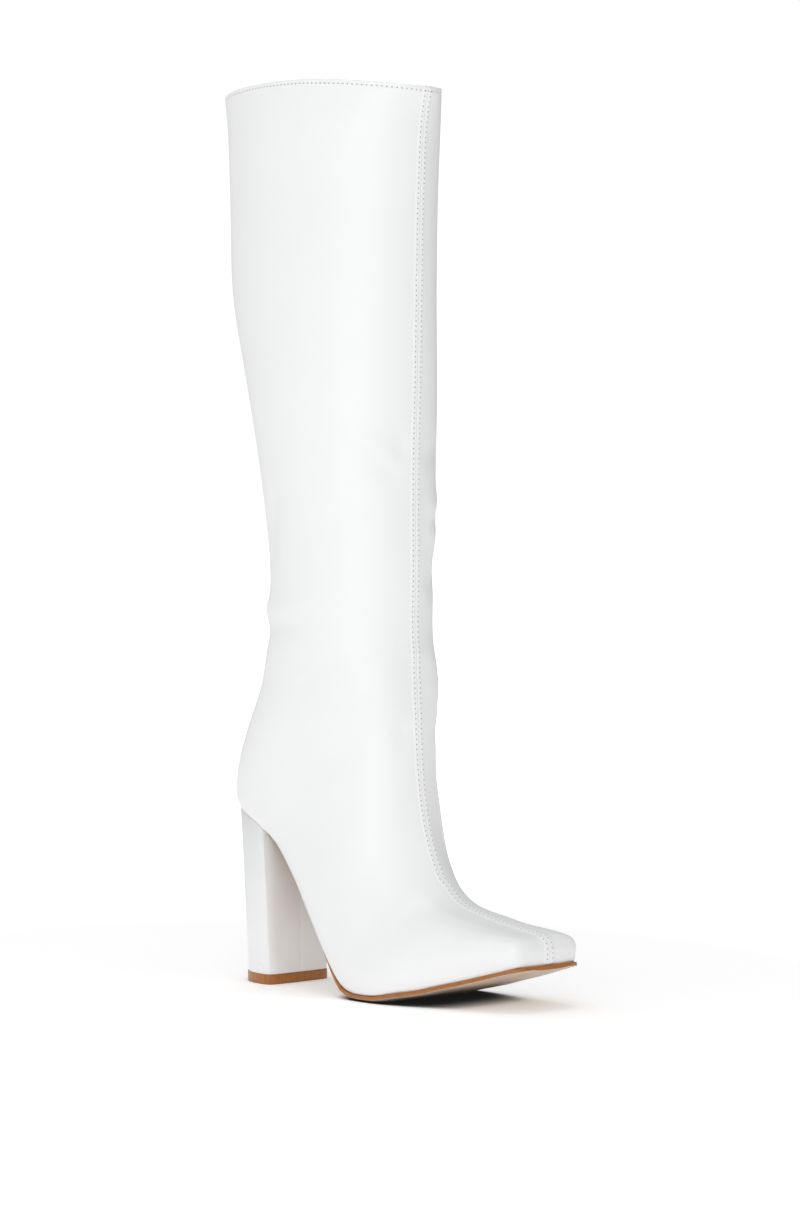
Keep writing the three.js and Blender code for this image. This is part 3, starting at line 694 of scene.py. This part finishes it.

# %% [markdown]
# ## The folds
# Thin smooth leather shows where a leg has bent it: soft diagonal folds at the back of the ankle,
# one long shallow trough towards the arch, and small dimples where the stiff front seam holds the
# shaft back. Each fold is a line of a few points on the boot with a height,
# which is a ridge above nought and a trough below, and a width. A fold fades to nothing sideways,
# and its height runs smoothly from point to point.

# %% The folds, each with its width and its points: x, y, z and height in millimetres
folds = {
    "shin ridge": (5.5, ((84, -35, 301, 0), (88.6, -31.8, 298.4, 0.5), (95.3, -25.1, 293.1, 0.7),
                         (100.5, -16.9, 287.9, 0.5), (104, -9, 285, 0))),
    "shin dimple": (5, ((101, -16, 291, 0), (103.4, -9, 289, -0.8), (105, -4, 287, 0))),
    "shin trough": (5, ((94, -27, 282, 0), (98.4, -20, 279.4, -0.7), (101.2, -15.4, 277.3, -0.8),
                        (103.6, -8.8, 275.2, 0))),
    "low shin ridge": (6, ((89, -30, 234, 0), (94.9, -24, 238.3, 0.5), (99, -18.3, 242, 0.6),
                           (102.2, -12.6, 245.7, 0.4), (104, -6, 248, 0))),
    "back trough": (8, ((44, -41, 274, 0), (38.7, -40.6, 261.6, -0.8), (33, -36.7, 246.6, -1),
                        (32.3, -35.3, 232.1, -0.6), (33, -36, 220, 0))),
    "ankle ridge": (7.5, ((14, -22, 200, 0.7), (22, -28, 203.4, 1.3), (36, -38, 205, 1.2),
                          (51.3, -40.8, 205.7, 0.9), (69.3, -39.5, 206.5, 0.3), (80, -36, 206, 0))),
    "ankle trough": (6.5, ((20, -24, 190, -0.6), (30.8, -34.7, 194, -1.1), (51.4, -40.8, 195.6, -0.8),
                           (69.4, -39.6, 198.1, -0.2), (78, -37, 199, 0))),
    "low ankle spot": (5, ((52, -41, 171, 0), (58.8, -39.8, 170.3, 0.35), (66, -39, 170, 0))),
    "low ankle line": (4, ((53, -41, 164, 0), (61.5, -39.4, 165.6, -0.3), (70, -38, 167, 0))),
    "instep trough": (12, ((28, -36, 176, 0), (37.5, -38.7, 157.9, -0.7), (49.7, -39.2, 143.4, -1),
                           (58.1, -36.2, 128.7, -0.7), (66, -33, 112, 0))),
    "tongue dimple": (6, ((103, -15, 144, 0), (104.9, -10, 140.1, -0.6), (107, -4, 136, 0))),
    "knee dimple": (4, ((107, -8, 381, 0), (108.5, -4.5, 377.7, -0.7), (108.8, -3, 374, 0))),
    "upper back spot": (9, ((0, -36, 446, 0), (8.5, -39.7, 437.2, -0.35), (16, -43, 428, 0))),
    "upper shin spot": (7, ((86, -34, 466, 0), (91.6, -30.3, 462.6, 0.3), (97.7, -25.3, 452, -0.3),
                            (101, -21, 444, 0))),
    "inner knee dimple": (7, ((96, 30, 298, 0), (101, 20, 288, -1), (104, 11, 283, -0.6),
                              (105, 6, 280, 0))),
    "inner shin ridge": (6, ((88, 34, 268, 0), (96, 25, 262, 0.9), (101, 16, 259, 1), (104, 8, 257, 0))),
    "inner shin ridge low": (5.5, ((88, 33, 248, 0), (96, 24, 245, 0.6), (101, 15, 243.5, 0.8),
                                   (104, 7, 242, 0))),
    "inner ankle trough": (9, ((80, 37, 232, 0), (92, 28, 226, -0.7), (100, 16, 219, -0.9),
                               (102, 8, 213, 0))),
    "inner back ridge": (7, ((12, 22, 204, 0.4), (24, 31, 206, 1.2), (40, 39, 209, 0.9), (58, 41, 211, 0))),
    "inner back trough": (7, ((14, 20, 192, -0.4), (26, 30, 195, -1), (44, 39, 199, -0.6), (60, 41, 203, 0))),
    "inner low ridge": (8, ((30, 34, 182, 0), (42, 38, 171, 0.6), (54, 39, 161, 0.5), (64, 38, 152, 0))),
    "inner calf trough": (10, ((34, 38, 270, 0), (36, 38, 254, -0.8), (36, 38, 240, -0.7), (38, 39, 226, 0))),
    "back fold": (6, ((21, -12, 196, -0.4), (18, 0, 198, -0.8), (21, 12, 195, -0.4))),
    "back ridge": (6, ((20, -12, 207, 0.6), (17, 0, 209, 0.9), (20, 12, 208, 0.6))),
}
FOLD_STEP = 1.5 * MM
FOLD_DEPTH = 1.45               # all the folds together
FOLD_REACH = 75 * MM            # a fold is worked out only this close to its middle


def fold_relief(points, width, line):
    line = np.array(line, float)
    line[:, :3] *= MM
    run = run_of(line[:, :3])
    at = np.linspace(0, run[-1], max(8, int(run[-1] / FOLD_STEP)))
    path = np.stack([smooth_through(run, line[:, k], at) for k in range(4)], axis=1)
    offsets = points[:, None] - path[None, :, :3]
    distance = np.linalg.norm(offsets, axis=-1)
    nearest = distance.argmin(axis=1)
    return FOLD_DEPTH * path[nearest, 3] * groove(distance.min(axis=1), width * MM)


flat_sheet = sheet.reshape(-1, 3)
fold_height = np.zeros(len(flat_sheet))
for name, (width, line) in folds.items():
    middle = np.array(line)[:, :3].mean(axis=0) * MM
    near = np.linalg.norm(flat_sheet - middle, axis=1) < FOLD_REACH
    fold_height[near] += fold_relief(flat_sheet[near], width, line)
relief += fold_height.reshape(relief.shape)
formed = sheet + relief[..., None] * MM * normals_of(sheet)
print(len(folds), "folds, from", fold_height.min().round(2), "to", fold_height.max().round(2), "mm")

# %% [markdown]
# ## The finishes
# The upper and the heel's cover are smooth white imitation leather: a fabric with a glossy skin. From
# a step away it is plain white with a soft shine, and close up it has a very fine grain, a slight
# unevenness and hardly any colour. The grain and the mottling are used by several finishes, so each
# is a node group with its own values in each finish. The shaders stay in the materials.

# %% Node groups for grain and mottling


def shader_group(name, inputs, outputs):
    group = bpy.data.node_groups.new(name, "ShaderNodeTree")
    for label, kind, value in inputs:
        socket = group.interface.new_socket(label, in_out="INPUT", socket_type=kind)
        if value is not None:
            socket.default_value = value
    for label, kind in outputs:
        group.interface.new_socket(label, in_out="OUTPUT", socket_type=kind)
    return group, group.nodes.new("NodeGroupInput"), group.nodes.new("NodeGroupOutput")


def noise(tree, vector, scale, detail=2.0, roughness=0.5):
    node = tree.nodes.new("ShaderNodeTexNoise")
    node.inputs["Scale"].default_value = scale
    node.inputs["Detail"].default_value = detail
    node.inputs["Roughness"].default_value = roughness
    tree.links.new(vector, node.inputs["Vector"])
    return node.outputs["Fac"]


def maths(tree, operation, first, second):
    node = tree.nodes.new("ShaderNodeMath")
    node.operation = operation
    for socket, value in zip(node.inputs, (first, second)):
        if isinstance(value, (int, float)):
            socket.default_value = value
        else:
            tree.links.new(value, socket)
    return node.outputs[0]


def fine_grain():
    """Height of a pebbled grain, in metres: small cells, with a wider swell under them."""
    group, given, result = shader_group(
        "fine_grain",
        (("Vector", "NodeSocketVector", None), ("Cells", "NodeSocketFloat", 2200),
         ("Cell Depth", "NodeSocketFloat", 8e-6), ("Swell", "NodeSocketFloat", 120),
         ("Swell Depth", "NodeSocketFloat", 4e-5)),
        (("Height", "NodeSocketFloat"),))
    cells = group.nodes.new("ShaderNodeTexVoronoi")
    cells.feature = "SMOOTH_F1"
    group.links.new(given.outputs["Vector"], cells.inputs["Vector"])
    group.links.new(given.outputs["Cells"], cells.inputs["Scale"])
    swell = group.nodes.new("ShaderNodeTexNoise")
    swell.inputs["Detail"].default_value = 3
    group.links.new(given.outputs["Vector"], swell.inputs["Vector"])
    group.links.new(given.outputs["Swell"], swell.inputs["Scale"])
    pebbles = maths(group, "MULTIPLY", cells.outputs["Distance"], given.outputs["Cell Depth"])
    waves = maths(group, "MULTIPLY", swell.outputs["Fac"], given.outputs["Swell Depth"])
    group.links.new(maths(group, "ADD", pebbles, waves), result.inputs["Height"])
    return group


def soft_mottle():
    """A mask from nought to one that changes slowly, with a finer cloud in it."""
    group, given, result = shader_group(
        "soft_mottle",
        (("Vector", "NodeSocketVector", None), ("Size", "NodeSocketFloat", 18),
         ("Contrast", "NodeSocketFloat", 1)),
        (("Mask", "NodeSocketFloat"),))
    cloud = group.nodes.new("ShaderNodeTexNoise")
    cloud.inputs["Detail"].default_value = 4
    group.links.new(given.outputs["Vector"], cloud.inputs["Vector"])
    group.links.new(given.outputs["Size"], cloud.inputs["Scale"])
    centred = maths(group, "SUBTRACT", cloud.outputs["Fac"], 0.5)
    spread = maths(group, "MULTIPLY", centred, given.outputs["Contrast"])
    clamp = group.nodes.new("ShaderNodeClamp")
    group.links.new(maths(group, "ADD", spread, 0.5), clamp.inputs["Value"])
    group.links.new(clamp.outputs["Result"], result.inputs["Mask"])
    return group


GRAIN, MOTTLE = fine_grain(), soft_mottle()
print("groups:", [group.name for group in bpy.data.node_groups])


# %% Helpers for the finishes
def finish(name):
    material = bpy.data.materials.new(name)
    material.use_nodes = True
    tree = material.node_tree
    where = tree.nodes.new("ShaderNodeTexCoord")
    return material, tree, tree.nodes["Principled BSDF"], where.outputs["Object"]


def place_group(tree, group, vector, **values):
    node = tree.nodes.new("ShaderNodeGroup")
    node.node_tree = group
    tree.links.new(vector, node.inputs["Vector"])
    for name, value in values.items():
        node.inputs[name.replace("_", " ")].default_value = value
    return node.outputs[0]


def between_colours(tree, mask, first, second):
    mix = tree.nodes.new("ShaderNodeMix")
    mix.data_type = "RGBA"
    for socket, value in ((mix.inputs[6], first), (mix.inputs[7], second)):
        if isinstance(value, tuple):
            socket.default_value = (*value, 1)
        else:
            tree.links.new(value, socket)
    tree.links.new(mask, mix.inputs["Factor"])
    return mix.outputs[2]


def colour(tree, shader, mask, first, second):
    tree.links.new(between_colours(tree, mask, first, second), shader.inputs["Base Color"])


def ranged(tree, value, low_end, high_end, first, second, smooth=False):
    node = tree.nodes.new("ShaderNodeMapRange")
    node.interpolation_type = "SMOOTHSTEP" if smooth else "LINEAR"
    set_range(node, low_end, high_end, first, second)
    tree.links.new(value, node.inputs["Value"])
    return node.outputs["Result"]


def bumped(tree, shader, height, strength=1.0):
    bump = tree.nodes.new("ShaderNodeBump")
    bump.inputs["Strength"].default_value = strength
    bump.inputs["Distance"].default_value = 1
    tree.links.new(height, bump.inputs["Height"])
    tree.links.new(bump.outputs["Normal"], shader.inputs["Normal"])


def grained(tree, shader, where, **values):
    bumped(tree, shader, place_group(tree, GRAIN, where, **values))


print("helpers for", [group.name for group in (GRAIN, MOTTLE)])

# %% [markdown]
# The needle leaves a row of small holes, and a stitch goes down into each one. On the upper they are
# small dents with dark points between the stitches, and the dark is painted shade in the holes. They
# are placed by the flat lay of the leather: across for the two rows on the front seam, and along for
# the row under the collar.

# %% White leather of the upper
PITCH = 2.7 * MM
HOLE = 0.5 * MM
WHITE, WHITE_SHADE = (0.875, 0.88, 0.88), (0.845, 0.85, 0.853)
# Painted shade: the dark colour inside each needle hole.
PAINTED_HOLE_SHADE = (0.3, 0.29, 0.28)


def hole_row(tree, across, along, row):
    """A mask of round holes at one pitch along a line."""
    aside = maths(tree, "SUBTRACT", maths(tree, "ABSOLUTE", across, 0), row)
    beat = maths(tree, "WRAP", along, PITCH / 2)
    tree.nodes[-1].inputs[2].default_value = -PITCH / 2
    squares = maths(tree, "ADD", maths(tree, "MULTIPLY", aside, aside), maths(tree, "MULTIPLY", beat, beat))
    distance = maths(tree, "SQRT", squares, 0)
    return ranged(tree, distance, 0.35 * HOLE, HOLE, 1, 0, smooth=True)


def white_leather():
    material, tree, shader, where = finish("white_leather")
    lay = tree.nodes.new("ShaderNodeUVMap")
    lay.uv_map = "laid_out"
    split = tree.nodes.new("ShaderNodeSeparateXYZ")
    tree.links.new(lay.outputs["UV"], split.inputs["Vector"])
    across, along = split.outputs["X"], split.outputs["Y"]
    front_holes = hole_row(tree, across, along, STITCH_ROW)
    collar_holes = hole_row(tree, along, across, COLLAR_ROW)
    holes = maths(tree, "MAXIMUM", front_holes, collar_holes)
    mottle = place_group(tree, MOTTLE, where, Size=14, Contrast=1.6)
    leather = between_colours(tree, mottle, WHITE, WHITE_SHADE)
    # The holes' dark points are painted shade.
    colour(tree, shader, holes, leather, PAINTED_HOLE_SHADE)
    tree.links.new(ranged(tree, mottle, 0, 1, 0.34, 0.44), shader.inputs["Roughness"])
    shader.inputs["Coat Weight"].default_value = 0.2
    shader.inputs["Coat Roughness"].default_value = 0.22
    grain = place_group(tree, GRAIN, where, Cells=1900, Cell_Depth=9e-6, Swell=70, Swell_Depth=1.6e-4)
    dented = maths(tree, "SUBTRACT", grain, maths(tree, "MULTIPLY", holes, 1.5e-4))
    bumped(tree, shader, dented)
    return material


def knit_lining():
    material, tree, shader, where = finish("knit_lining")
    mottle = place_group(tree, MOTTLE, where, Size=60, Contrast=1.5)
    colour(tree, shader, mottle, (0.70, 0.68, 0.64), (0.60, 0.58, 0.54))
    shader.inputs["Roughness"].default_value = 0.9
    shader.inputs["Specular IOR Level"].default_value = 0.2
    grained(tree, shader, where, Cells=1500, Cell_Depth=6e-5, Swell=300, Swell_Depth=5e-5)
    return material


WHITE_LEATHER, LINING = white_leather(), knit_lining()
print("leather pitch", PITCH / MM, "mm")


# %% Finishes of heel, sole and thread
def heel_leather():
    material, tree, shader, where = finish("heel_leather")
    mottle = place_group(tree, MOTTLE, where, Size=25, Contrast=1.4)
    colour(tree, shader, mottle, WHITE, WHITE_SHADE)
    tree.links.new(ranged(tree, mottle, 0, 1, 0.2, 0.3), shader.inputs["Roughness"])
    shader.inputs["Coat Weight"].default_value = 0.3
    shader.inputs["Coat Roughness"].default_value = 0.1
    grained(tree, shader, where, Cells=1900, Cell_Depth=7e-6, Swell=90, Swell_Depth=9e-5)
    return material


def streaked(name, light, dark, roughness, stretch):
    """Brown finish with fine streaks, as on stacked leather or a brushed edge."""
    material, tree, shader, where = finish(name)
    mapping = tree.nodes.new("ShaderNodeMapping")
    mapping.inputs["Scale"].default_value = stretch
    tree.links.new(where, mapping.inputs["Vector"])
    streak = noise(tree, mapping.outputs["Vector"], 1, 4, 0.65)
    mottle = place_group(tree, MOTTLE, where, Size=120, Contrast=1.5)
    streaks, patches = ranged(tree, streak, 0.3, 0.7, 0, 1), ranged(tree, mottle, 0, 1, 0.75, 1)
    colour(tree, shader, maths(tree, "MULTIPLY", streaks, patches), dark, light)
    dull, glossy = roughness + 0.08, roughness - 0.05
    tree.links.new(ranged(tree, streak, 0.3, 0.7, dull, glossy), shader.inputs["Roughness"])
    bumped(tree, shader, maths(tree, "MULTIPLY", streak, 3e-5))
    return material


def sole_underside():
    material, tree, shader, where = finish("sole_underside")
    mottle = place_group(tree, MOTTLE, where, Size=45, Contrast=1.6)
    colour(tree, shader, mottle, (0.60, 0.47, 0.37), (0.52, 0.40, 0.31))
    tree.links.new(ranged(tree, mottle, 0, 1, 0.42, 0.55), shader.inputs["Roughness"])
    grained(tree, shader, where, Cells=900, Cell_Depth=3e-5, Swell=200, Swell_Depth=5e-5)
    return material


def soft_insole():
    material, tree, shader, where = finish("soft_insole")
    mottle = place_group(tree, MOTTLE, where, Size=40, Contrast=1.5)
    colour(tree, shader, mottle, (0.66, 0.61, 0.54), (0.58, 0.53, 0.47))
    shader.inputs["Roughness"].default_value = 0.75
    grained(tree, shader, where, Cells=1100, Cell_Depth=4e-5, Swell=150, Swell_Depth=8e-5)
    return material


def white_thread():
    material, tree, shader, where = finish("white_thread")
    twist = noise(tree, where, 2500, 1)
    colour(tree, shader, twist, (0.93, 0.93, 0.93), (0.85, 0.85, 0.86))
    shader.inputs["Roughness"].default_value = 0.5
    bumped(tree, shader, maths(tree, "MULTIPLY", twist, 4e-5))
    return material


HEEL_LEATHER = heel_leather()
EDGE_BROWN = streaked("edge_brown", (0.44, 0.16, 0.025), (0.30, 0.10, 0.015), 0.32, (180, 180, 900))
TOP_PIECE_BROWN = streaked("top_piece_brown", (0.46, 0.17, 0.03), (0.28, 0.095, 0.015), 0.34, (900, 900, 60))
SOLE_BEIGE, INSOLE_CLOTH, THREAD = sole_underside(), soft_insole(), white_thread()
nodes["insole"].data.materials.clear()
nodes["insole"].data.materials.append(INSOLE_CLOTH)
print("finishes:", [material.name for material in bpy.data.materials if material.users])

# %% [markdown]
# ## The upper as one piece
# The rows and columns become a mesh: an operator makes a flat grid, and each of its points is moved
# to its place. The flat lay of the leather is kept as a UV map, in metres across and along, so that
# a finish can follow the seam. Round the leg the two ends of the grid are welded into the back seam.
# Along the sole a margin is turned in under the foot, as it is pulled over the last and glued down.
# The wall then gets its thickness inwards, with a lining on the inside. It is skived thin at the
# lowest point of the seat, where the leather meets itself in a sharp corner.

# %% Build the sheet and give it its wall
WALL = 1.8 * MM
WELD = 0.05 * MM
MARGIN = 5 * MM
MIDDLE_OF_FOOT = (5 * MM, 165 * MM)
LOWEST_COLLAR = 400 * MM        # an open edge below this height lies along the sole
SKIVED_FROM, SKIVED_TO = 4 * MM, 20 * MM    # distances from the lowest point of the seat
SKIVED_SHARE = 0.15             # of the wall's thickness


def named_object(name, bm):
    mesh = bpy.data.meshes.new(name)
    bm.to_mesh(mesh)
    bm.free()
    mesh.shade_smooth()
    obj = bpy.data.objects.new(name, mesh)
    bpy.context.scene.collection.objects.link(obj)
    return obj


def pull_under(bm):
    """Turns a margin of the leather in under the foot, along the line of the sole."""
    open_edges = [e for e in bm.edges if e.is_boundary and max(v.co.z for v in e.verts) < LOWEST_COLLAR]
    ring = bmesh.ops.extrude_edge_only(bm, edges=open_edges)
    moved = [item for item in ring["geom"] if isinstance(item, bmesh.types.BMVert)]
    edge = feather_edges[-1]
    for vert in moved:
        middle = np.clip(vert.co.x, *MIDDLE_OF_FOOT)
        inward = Vector((middle - vert.co.x, seam_side(vert.co.x) - vert.co.y, 0))
        vert.co += inward.normalized() * min(MARGIN, 0.9 * inward.length)
        vert.co.z += np.interp(vert.co.x, edge[:, 0], edge[:, 2]) - np.interp(
            vert.co.x - inward.normalized().x * MARGIN, edge[:, 0], edge[:, 2])


def leather_sheet(points, across, down):
    rows, columns = points.shape[:2]
    bm = bmesh.new()
    bmesh.ops.create_grid(bm, x_segments=columns - 1, y_segments=rows - 1, size=0.5)
    bm.verts.ensure_lookup_table()
    laid_out = bm.loops.layers.uv.new("laid_out")
    for face in bm.faces:
        for loop in face.loops:
            row, column = divmod(loop.vert.index, columns)
            loop[laid_out].uv = (across[row, column], down[row, column])
    for vert, place in zip(bm.verts, points.reshape(-1, 3)):
        vert.co = place
    seam = [bm.verts[row * columns + k] for row in range(closed_rows) for k in (0, columns - 1)]
    bmesh.ops.remove_doubles(bm, verts=seam, dist=WELD)
    bm.normal_update()
    bm.faces.ensure_lookup_table()
    sample = bm.faces[len(bm.faces) // 3]
    if sample.normal.y * sample.calc_center_median().y < 0:
        bmesh.ops.reverse_faces(bm, faces=bm.faces)
    pull_under(bm)
    bm.normal_update()
    return bm


back_middle = (formed[:closed_rows, 0] + formed[:closed_rows, -1]) / 2
formed[:closed_rows, 0] = formed[:closed_rows, -1] = back_middle
upper = named_object("boot_upper", leather_sheet(formed, from_seam, from_collar))
upper.data.materials.append(WHITE_LEATHER)
upper.data.materials.append(LINING)
wall = upper.modifiers.new("wall", "SOLIDIFY")
wall.thickness = WALL
wall.offset = -1
wall.material_offset = 1
thin = upper.vertex_groups.new(name="wall_share")
thin.add(list(range(len(upper.data.vertices))), 1, "REPLACE")
for vert in upper.data.vertices:
    off_corner = (vert.co - Vector(seat_corner)).length
    if off_corner < SKIVED_TO:
        share = SKIVED_SHARE + (1 - SKIVED_SHARE) * float(ease(SKIVED_FROM, SKIVED_TO, off_corner))
        thin.add([vert.index], share, "REPLACE")
wall.vertex_group = thin.name
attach(upper, "root")
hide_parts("upper")
print("upper:", len(upper.data.polygons), "faces")

# %% [markdown]
# ## The stitches
# Three rows of white thread hold the boot together where it shows: two along the front seam and one
# under the collar. A stitch is a short length of thread that dips at both ends, so a stretched ball
# with few faces is enough for each. All of them are one mesh, laid along the same lines of the sheet
# that carry the furrows and the holes.

# %% Lay the stitches along their rows
STITCH_LENGTH = 2.15 * MM
THREAD_RADIUS = 0.27 * MM
BELOW_COLLAR = 4 * MM           # where the rows of the front seam begin
ABOVE_SOLE = 2 * MM             # and where they end
BESIDE_SEAM = 3.5 * MM          # the row under the collar stops this far from the front seam
sheet_normals = normals_of(formed)


def add_stitches(bm, line, normals, places, first, last):
    count = 0
    for k in range(math.ceil(first / PITCH), math.floor(last / PITCH)):
        at = (k + 0.5) * PITCH
        middle, ahead = (place_on(line, places, value) for value in (at, at + 0.4 * PITCH))
        normal = Vector(place_on(normals, places, at)).normalized()
        along = Vector(ahead - middle).normalized()
        aside = normal.cross(along).normalized()
        turn = Matrix((aside, normal, along)).transposed().to_4x4()
        size = Matrix.Diagonal((THREAD_RADIUS, THREAD_RADIUS * 0.8, STITCH_LENGTH / 2, 1))
        place = Matrix.Translation(Vector(middle) + normal * 0.1 * MM)
        bmesh.ops.create_uvsphere(bm, u_segments=6, v_segments=5, radius=1, matrix=place @ turn @ size)
        count += 1
    return count


bm = bmesh.new()
stitch_column = int(np.argmin(abs(SEAM_STOPS - STITCH_ROW)))
stitch_count = 0
for column in (seam_column - stitch_column, seam_column + stitch_column):
    down = from_collar[:, column]
    line, normals = formed[:, column], sheet_normals[:, column]
    stitch_count += add_stitches(bm, line, normals, down, BELOW_COLLAR, down[-1] - ABOVE_SOLE)
collar_row = int(np.argmin(abs(COLLAR_STOPS - COLLAR_ROW)))
around = from_seam[collar_row]
line, normals = formed[collar_row], sheet_normals[collar_row]
for first, last in ((around[0], -BESIDE_SEAM), (BESIDE_SEAM, around[-1])):
    stitch_count += add_stitches(bm, line, normals, around, first, last)
thread = named_object("boot_thread", bm)
thread.data.materials.append(THREAD)
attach(thread, "root")
print(stitch_count, "stitches,", len(thread.data.polygons), "faces")

# %% [markdown]
# ## The heel
# The heel is a block with a curved back and a flat front, called the breast. It is covered with the
# same leather, which is closed with a seam down the middle of the breast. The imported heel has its
# outline at the floor and at the seat. The same two outlines carry the cover. Its corners and its
# lower rim are soft, and its rim at the seat stays plain, because it is hidden in the joint.

# %% Heel, top piece and outsole
TOUCH = 0.3 * MM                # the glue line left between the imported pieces
LOOKS_UP = 0.3                  # a face looks up when its normal rises more than this
CORNER = 40                     # degrees; a sharper edge is a corner to be softened
BREAST_SEAM = 0.35 * MM         # half the width of the seam's furrow
BREAST_SEAM_DEPTH = 0.4 * MM
HALF_HEEL = 50 * MM             # edges wholly above this are the seat's rim, which stays plain


def merged_copy(node):
    bm = bmesh.new()
    bm.from_mesh(nodes[node].data)
    bmesh.ops.remove_doubles(bm, verts=bm.verts, dist=1e-6)
    bmesh.ops.dissolve_limit(bm, angle_limit=math.radians(1), verts=bm.verts, edges=bm.edges)
    return bm


def raise_top(bm, height):
    """Moves the faces that look up by the gap of the glue line, so that the pieces touch."""
    top = {vert for face in bm.faces if face.normal.z > LOOKS_UP for vert in face.verts}
    bmesh.ops.translate(bm, verts=list(top), vec=(0, 0, height))


def soft_edges(obj, width, segments, angle):
    bevel = obj.modifiers.new("soft_edges", "BEVEL")
    bevel.width = width
    bevel.segments = segments
    bevel.limit_method = "ANGLE"
    bevel.angle_limit = math.radians(angle)
    bevel.profile = 0.5
    bevel.material = -1
    return bevel


def stands_for(piece, node):
    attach(piece, "root")
    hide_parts(node)
    print(piece.name, len(piece.data.polygons), "faces")


bm = merged_copy("heel")
raise_top(bm, TOUCH)
for cut in (-BREAST_SEAM, BREAST_SEAM, 0):
    bmesh.ops.bisect_plane(bm, geom=bm.verts[:] + bm.edges[:] + bm.faces[:], dist=1e-7,
                           plane_co=(0, cut, 0), plane_no=(0, 1, 0))
seam_line = [v for v in bm.verts if abs(v.co.y) < 1e-6 and v.co.x > 10 * MM]
bmesh.ops.translate(bm, verts=seam_line, vec=(-BREAST_SEAM_DEPTH, 0, 0))
soft = bm.edges.layers.float.new("bevel_weight_edge")
for edge in bm.edges:
    below_seat = min(vert.co.z for vert in edge.verts) < HALF_HEEL
    edge[soft] = float(below_seat and edge.calc_face_angle(0) > math.radians(CORNER))
heel = named_object("boot_heel", bm)
heel.data.materials.append(HEEL_LEATHER)
soft_edges(heel, 0.6 * MM, 3, CORNER).limit_method = "WEIGHT"
stands_for(heel, "heel")

top_piece = named_object("boot_top_piece", merged_copy("top_piece"))
top_piece.data.materials.append(TOP_PIECE_BROWN)
soft_edges(top_piece, 0.4 * MM, 3, CORNER)
stands_for(top_piece, "top_piece")

# %% [markdown]
# ## The outsole
# The outsole is a thin sheet of hard rubber. Its edge is painted brown and polished, and its
# underside stays beige. It has a thin upright edge, and below that it swells to its full thickness.

# %% Outsole with a painted edge
BEDDED = 0.15 * MM              # how far the upper sinks into the outsole's top
LOOKS_DOWN = -0.45              # the underside's faces point down more than this
SOLE_CORNER = 30                # degrees

bm = merged_copy("outsole")
raise_top(bm, TOUCH + BEDDED)
outsole = named_object("boot_outsole", bm)
outsole.data.materials.append(EDGE_BROWN)
outsole.data.materials.append(SOLE_BEIGE)
for polygon in outsole.data.polygons:
    polygon.material_index = int(polygon.normal.z < LOOKS_DOWN)
soft_edges(outsole, 0.3 * MM, 3, SOLE_CORNER)
stands_for(outsole, "outsole")
